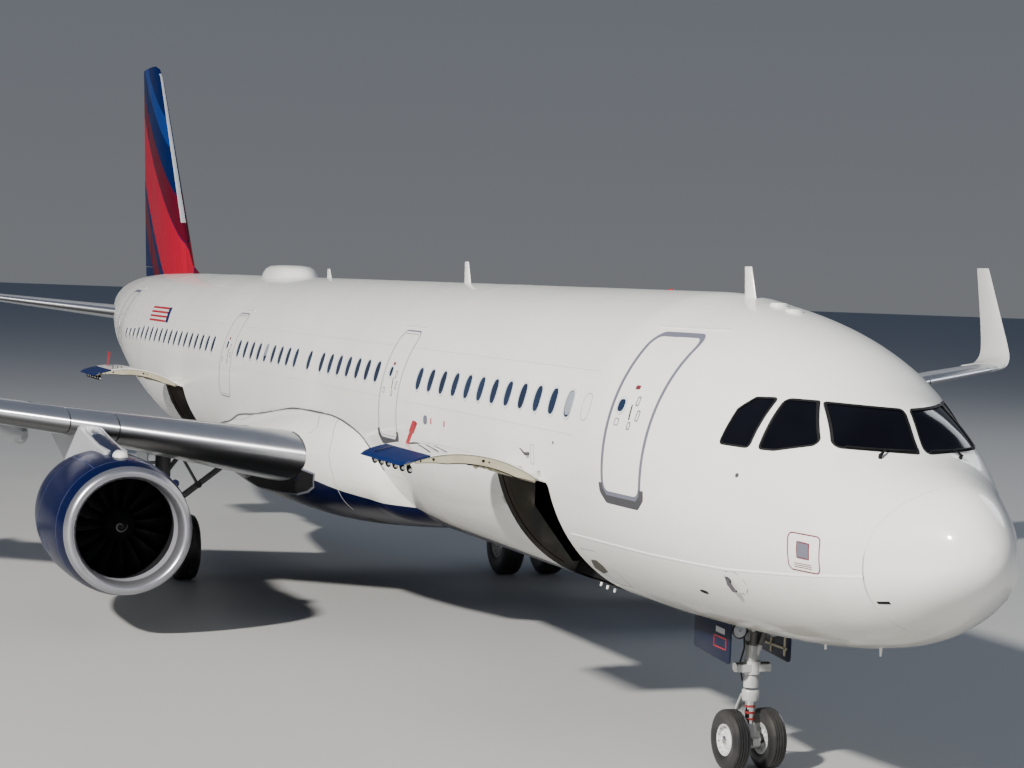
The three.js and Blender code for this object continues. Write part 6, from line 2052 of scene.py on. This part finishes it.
# The main legs' near black grey is painted shade of legs standing in shadow under the wing.
main_strut_shaded_grey = painted(
    "main_strut_grey", (0.13, 0.13, 0.135), dirt=(0.05, 0.042, 0.035), amount=0.6, gloss=0.4, coat=0.1
)
WHEEL_FLAT = math.cos(math.pi / 24)  # the tyres' solids have 24 sides and stand on a flat one
RIM_HOLES, RIM_BOLTS = 10, 12
# axle station, y of the leg, half spacing, tyre radius, half tyre width, rim radius
GEARS = {
    "nose": (5.07, 0.0, 0.25, 0.381, 0.11, 0.2), "main_left": (21.97, 3.795, 0.4635, 0.63, 0.22, 0.29),
    "main_right": (21.97, -3.795, 0.4635, 0.63, 0.22, 0.29)
}


def tyre_rows(radius, half, rim):
    """Bead, bulging wall, rounded shoulder and a crown with four grooves."""
    top = radius * WHEEL_FLAT
    wall = [
        (0.8, rim), (0.9, rim + 0.12 * (top - rim)), (0.985, rim + 0.42 * (top - rim)),
        (0.99, rim + 0.58 * (top - rim)), (0.93, rim + 0.8 * (top - rim)), (0.8, rim + 0.94 * (top - rim)),
        (0.66, top - 0.004)
    ]
    crown = []
    for g in (0.48, 0.16):
        crown += [
            (g + 0.05, top - 0.001), (g + 0.045, top - 0.014), (g - 0.045, top - 0.014), (g - 0.05, top)
        ]
    one = [(half * w, r) for w, r in wall + crown]
    return one + [(-w, r) for w, r in reversed(one)]


for name, (s, y, spacing, radius, half, rim) in GEARS.items():
    body = "nose_wheels" if name == "nose" else f"main_wheels_{name[5:]}"
    z = radius * WHEEL_FLAT
    rims, holes, darks = [], [], []
    for side in (1, -1):
        centre = (s, y + side * spacing, z)
        word = ("left" if side > 0 else "right") if name == "nose" else (
            "outer" if side * y > 0 else "inner"
        )
        tyre = wheel(f"tyre_{name}_{word}_rubber", tyre_rows(radius, half, rim), centre, rubber, 96)
        dress(tyre, f"tyre_{name}_{word}", body)
        seat, w = 0.985 * rim, side * half
        dish = [
            (0.86 * w, seat), (0.9 * w, seat - 0.012), (0.8 * w, seat - 0.03), (0.45 * w, 0.8 * rim),
            (0.5 * w, 0.52 * rim), (0.62 * w, 0.44 * rim), (0.64 * w, 0.3 * rim), (0.75 * w, 0.28 * rim),
            (0.76 * w, 0.05), (-0.6 * w, 0.05), (-0.6 * w, 0.6 * rim), (-0.8 * w, 0.8 * seat),
            (-0.86 * w, seat)
        ]
        disc = wheel("rim", dish, centre, rim_white, 72)
        cutters = []
        for k in range(RIM_HOLES):
            a = 2 * math.pi * k / RIM_HOLES
            at = (s + 0.64 * rim * math.cos(a), z + 0.64 * rim * math.sin(a))
            r = 0.115 * rim
            ring = [
                np.array([
                    (at[0] + r * math.cos(t), centre[1] + c * half * 1.2, at[1] + r * math.sin(t))
                    for t in np.linspace(0, 2 * math.pi, 13)[:-1]
                ])
                for c in (-1, 1)
            ]
            cutters.append(loft_piece("hole", ring))
        carve(disc, cutters)
        drop(*cutters)
        rims.append(disc)
        bolt = at_origin(tube("rim_bolt", [(0, 0, 0), (0, side * 0.022, 0)], [0.011, 0.009], sides=6))
        bolts = [
            (
                real(s + 0.86 * rim * math.cos(a), centre[1] + 0.62 * w, z + 0.86 * rim * math.sin(a)),
                (0, 0, 0)
            )
            for a in 2 * np.pi * (np.arange(RIM_BOLTS) + 0.5) / RIM_BOLTS
        ]
        dress(
            repeated(f"rim_bolts_{name}_{word}", bolt, bolts, dark_steel, 0.01), body=body
        )
        darks.append(wheel(
            "hub_cap",
            [(0.74 * w, 0.26 * rim), (0.86 * w, 0.24 * rim), (0.92 * w, 0.16 * rim), (0.93 * w, 0.02)],
            centre, chrome, 32, False
        ))
    reach = spacing + 0.5 * half
    rims.append(rod("axle", (s, y - reach, z), (s, y + reach, z), r=0.062, material=dark_steel))
    dress(join(f"wheels_{name}_rims", rims), f"wheels_{name}", body)
    dress(join(f"hub_caps_{name}", darks), body=body)

NOSE_S, EYE_Z = 5.07, 0.381 * WHEEL_FLAT
leg = [
    rod(
        "leg", (NOSE_S, 0, 1.03), (NOSE_S, 0, 1.12), (NOSE_S, 0, 1.14), (NOSE_S, 0, 2.5),
        r=[0.094, 0.094, 0.085, 0.085], material=gear_grey, sides=32
    ),
    rod("clamp", (NOSE_S, 0, 1.2), (NOSE_S, 0, 1.36), r=0.112, material=gear_grey, sides=32),
    boxed("steering_beam", NOSE_S - 0.1, NOSE_S + 0.1, -0.22, 0.22, 1.235, 1.325),
    rod("actuator", (NOSE_S, -0.235, 1.28), (NOSE_S, 0.235, 1.28), r=0.058, material=chrome)
]
for side in (1, -1):
    leg += [
        rod(
            "brace", (NOSE_S, side * 0.02, 1.31), (NOSE_S - 0.43, side * 0.19, 2.55), r=0.034,
            material=gear_grey
        ),
        rod(
            "brace_eye", (NOSE_S - 0.1, side * 0.05, 1.58), (NOSE_S - 0.16, side * 0.075, 1.76), r=0.045,
            material=dark_steel
        ),
        rod(
            "lamp_arm", (NOSE_S, side * 0.05, 1.72), (NOSE_S - 0.06, side * 0.24, 1.74), r=0.018,
            material=dark_steel, sides=10
        ),
        rod(
            "hose", (NOSE_S + 0.09, side * 0.05, 2.4), (NOSE_S + 0.12, side * 0.07, 1.9),
            (NOSE_S + 0.1, side * 0.06, 1.5), (NOSE_S + 0.15, side * 0.09, 1.3),
            (NOSE_S + 0.1, side * 0.07, 1.08), r=0.012, material=hose_black, sides=10
        )
    ]
for z in (1.56, 1.98):
    leg.append(rod("clip", (NOSE_S, 0, z), (NOSE_S, 0, z + 0.04), r=0.096, material=dark_steel, sides=32))
finish_with(leg[2], gear_grey)
dress(join("nose_leg_parts", leg), "nose_leg")
lamps = []
for side in (1, -1):
    x, y, z = NOSE_S - 0.08, side * 0.24, 1.75
    shell = [
        (0.09, 0.02), (0.07, 0.06), (0.03, 0.09), (-0.03, 0.1), (-0.035, 0.092), (-0.02, 0.088), (0.02, 0.08)
    ]
    lamps += [
        turned("lamp_shell", shell, (x, y, z), dark_steel, True, 32),
        turned(
            "lamp_glass", [(-0.03, 0.01), (-0.022, 0.085), (-0.01, 0.085), (0.0, 0.01)], (x, y, z),
            clear_lens, True, 32
        )
    ]
dress(join("taxi_lamps", lamps))

steering = [
    rod("piston", (NOSE_S, 0, EYE_Z + 0.1), (NOSE_S, 0, 0.995), r=0.064, material=chrome, sides=32),
    rod(
        "collar", (NOSE_S, 0, 0.862), (NOSE_S, 0, 0.885), (NOSE_S, 0, 0.98), (NOSE_S, 0, 1.0),
        r=[0.1, 0.109, 0.109, 0.1], material=gear_grey, sides=32
    ),
    rod(
        "foot", (NOSE_S, 0, EYE_Z + 0.07), (NOSE_S, 0, EYE_Z + 0.2), r=[0.1, 0.075], material=gear_grey,
        sides=32
    ),
    wheel(
        "axle_eye",
        [(-0.108, 0.078), (-0.108, 0.118), (-0.09, 0.12), (0.09, 0.12), (0.108, 0.118), (0.108, 0.078)],
        (NOSE_S, 0, EYE_Z), gear_grey, 40
    ),
    boxed("tow_lug", NOSE_S - 0.215, NOSE_S - 0.1, -0.05, 0.05, 0.335, 0.425),
    rod("tow_pin", (NOSE_S - 0.17, -0.068, 0.38), (NOSE_S - 0.17, 0.068, 0.38), r=0.022, material=chrome)
]
finish_with(steering[4], gear_grey)
for z in (0.62, 0.70, 0.78):
    steering.append(rod(
        "band", (NOSE_S, 0, z), (NOSE_S, 0, z + 0.03), r=0.0665, material=band_red, sides=32
    ))
for side in (1, -1):
    steering += [
        rod(
            "upper_link", (NOSE_S + 0.09, side * 0.07, 0.92), (NOSE_S + 0.34, side * 0.012, 0.69), r=0.022,
            material=gear_grey, sides=12
        ),
        rod(
            "lower_link", (NOSE_S + 0.33, side * 0.012, 0.67), (NOSE_S + 0.09, side * 0.07, 0.46), r=0.022,
            material=gear_grey, sides=12
        )
    ]
steering.append(rod(
    "link_pin", (NOSE_S + 0.34, -0.028, 0.68), (NOSE_S + 0.34, 0.028, 0.68), r=0.028, material=dark_steel
))
dress(join("nose_steering_parts", steering), "nose_steering", "nose_steering")


def plate_rings(corners, radius, side, offs):
    """Rings of a door panel with rounded corners and softened rims, from its inner face outwards."""
    return [
        np.array([(s, side * y, z) for s, z in rounded_outline(corners, radius, -0.008 * k, 5)])
        for y, k in zip(offs, (1, 0, 0, 1))
    ]


door_navy = painted(
    "door_navy", (0.008, 0.012, 0.035), dirt=(0.04, 0.036, 0.03), amount=0.5, gloss=0.35, coat=0, shine=0.25
)
for word, side in SIDES:
    corners = [(4.86, 1.95), (4.86, 1.35), (5.84, 1.43), (5.84, 1.9)]
    rings = plate_rings(corners, 0.05, side, (0.401, 0.405, 0.427, 0.431))
    door = sharpen(loft_piece(f"nose_door_{word}_panel", rings, door_navy), 30)
    dress(door, f"nose_door_{word}")
    frame = [boxed("rib", s, s + 0.03, side * 0.385, side * 0.402, 1.42, 1.85) for s in (4.95, 5.3, 5.7)]
    frame.append(boxed("rib", 4.92, 5.78, side * 0.385, side * 0.402, 1.5, 1.53))
    for rib in frame:
        finish_with(rib, primer_cream)
    dress(join(f"nose_door_{word}_ribs", frame))
    flat_side = lambda line, turn, lift: np.array([(s, turn * (0.431 + lift), z) for s, z in line])
    placard = [ribbon(
        "placard_rim", [(4.96, 1.52), (5.28, 1.53), (5.28, 1.66), (4.96, 1.65)], 0.014, red_paint, side,
        0.002, True, 0.05, flat_side
    )]
    placard.append(patch(
        "number_plate", [(5.0, 1.7), (5.24, 1.71), (5.24, 1.78), (5.0, 1.77)], line_grey, side, 0.002,
        flat_side
    ))
    dress(join(f"nose_door_{word}_placard", placard))

for word, side in SIDES:
    at = lambda s, y, z: (s, side * y, z)
    s, y, eye = 21.97, 3.795, 0.63 * WHEEL_FLAT
    main = [
        rod(
            "leg", at(s, y, 1.16), at(s, y, 1.2), at(s, y, 2.56), r=[0.14, 0.149, 0.149],
            material=main_strut_shaded_grey, sides=36
        ),
        rod("piston", at(s, y, eye + 0.1), at(s, y, 1.2), r=0.098, material=chrome, sides=32),
        wheel(
            "axle_eye",
            [(-0.158, 0.08), (-0.158, 0.145), (-0.14, 0.15), (0.14, 0.15), (0.158, 0.145), (0.158, 0.08)],
            at(s, y, eye), gear_grey, 40
        ),
        rod(
            "foot", at(s, y, eye + 0.1), at(s, y, eye + 0.24), r=[0.13, 0.105], material=main_strut_shaded_grey, sides=32
        ),
        rod("side_stay", at(s, y - 0.06, 1.35), at(s, 3.1, 1.832), r=0.064, material=main_strut_shaded_grey),
        rod("side_stay", at(s, 3.1, 1.832), at(s, 2.52, 2.275), r=0.058, material=main_strut_shaded_grey),
        rod(
            "stay_joint", at(s - 0.085, 3.1, 1.832), at(s + 0.085, 3.1, 1.832), r=0.062, material=dark_steel
        ),
        rod("stay_lock", at(s, 3.12, 1.86), at(s, 3.4, 2.32), r=0.03, material=main_strut_shaded_grey, sides=12),
        rod(
            "retract_ram", at(s + 0.02, y - 0.1, 2.1), at(s + 0.02, 3.5, 2.36), r=0.045, material=main_strut_shaded_grey,
            sides=16
        ),
        rod(
            "hose", at(s + 0.15, y, 2.4), at(s + 0.18, y + 0.03, 1.9), at(s + 0.15, y + 0.03, 1.3),
            at(s + 0.17, y + 0.08, 0.95), at(s + 0.13, y + 0.1, 0.7), r=0.016, material=hose_black, sides=10
        ),
        rod(
            "hose", at(s + 0.13, y - 0.07, 2.4), at(s + 0.16, y - 0.08, 1.9), at(s + 0.14, y - 0.07, 1.3),
            at(s + 0.17, y - 0.09, 0.95), at(s + 0.13, y - 0.1, 0.7), r=0.016, material=hose_black, sides=10
        ),
        rod("clamp", at(s, y, 1.62), at(s, y, 1.7), r=0.16, material=dark_steel, sides=36)
    ]
    for turn in (1, -1):
        main += [
            rod(
                "upper_link", at(s + 0.12, y + 0.09 * turn, 1.28), at(s + 0.44, y + 0.015 * turn, 0.96),
                r=0.03, material=main_strut_shaded_grey, sides=12
            ),
            rod(
                "lower_link", at(s + 0.44, y + 0.015 * turn, 0.94), at(s + 0.1, y + 0.09 * turn, 0.66),
                r=0.03, material=main_strut_shaded_grey, sides=12
            )
        ]
    main.append(rod(
        "link_pin", at(s + 0.45, y - 0.035, 0.95), at(s + 0.45, y + 0.035, 0.95), r=0.036,
        material=dark_steel
    ))
    dress(join(f"main_leg_{word}_parts", main), f"main_leg_{word}")
    shape = [(21.46, 2.49), (21.5, 1.5), (21.7, 1.31), (22.25, 1.31), (22.4, 1.5), (22.44, 2.44)]
    rings = plate_rings(shape, 0.06, side, (4.181, 4.186, 4.209, 4.214))
    panel = sharpen(loft_piece("panel", rings, grey_paint), 30)
    links = [
        rod("door_link", at(21.97, 3.93, z), at(21.97, 4.19, z), r=0.032, material=gear_grey, sides=12)
        for z in (1.7, 2.25)
    ]
    dress(join(f"leg_door_{word}_panel", [panel, *links]), f"leg_door_{word}")
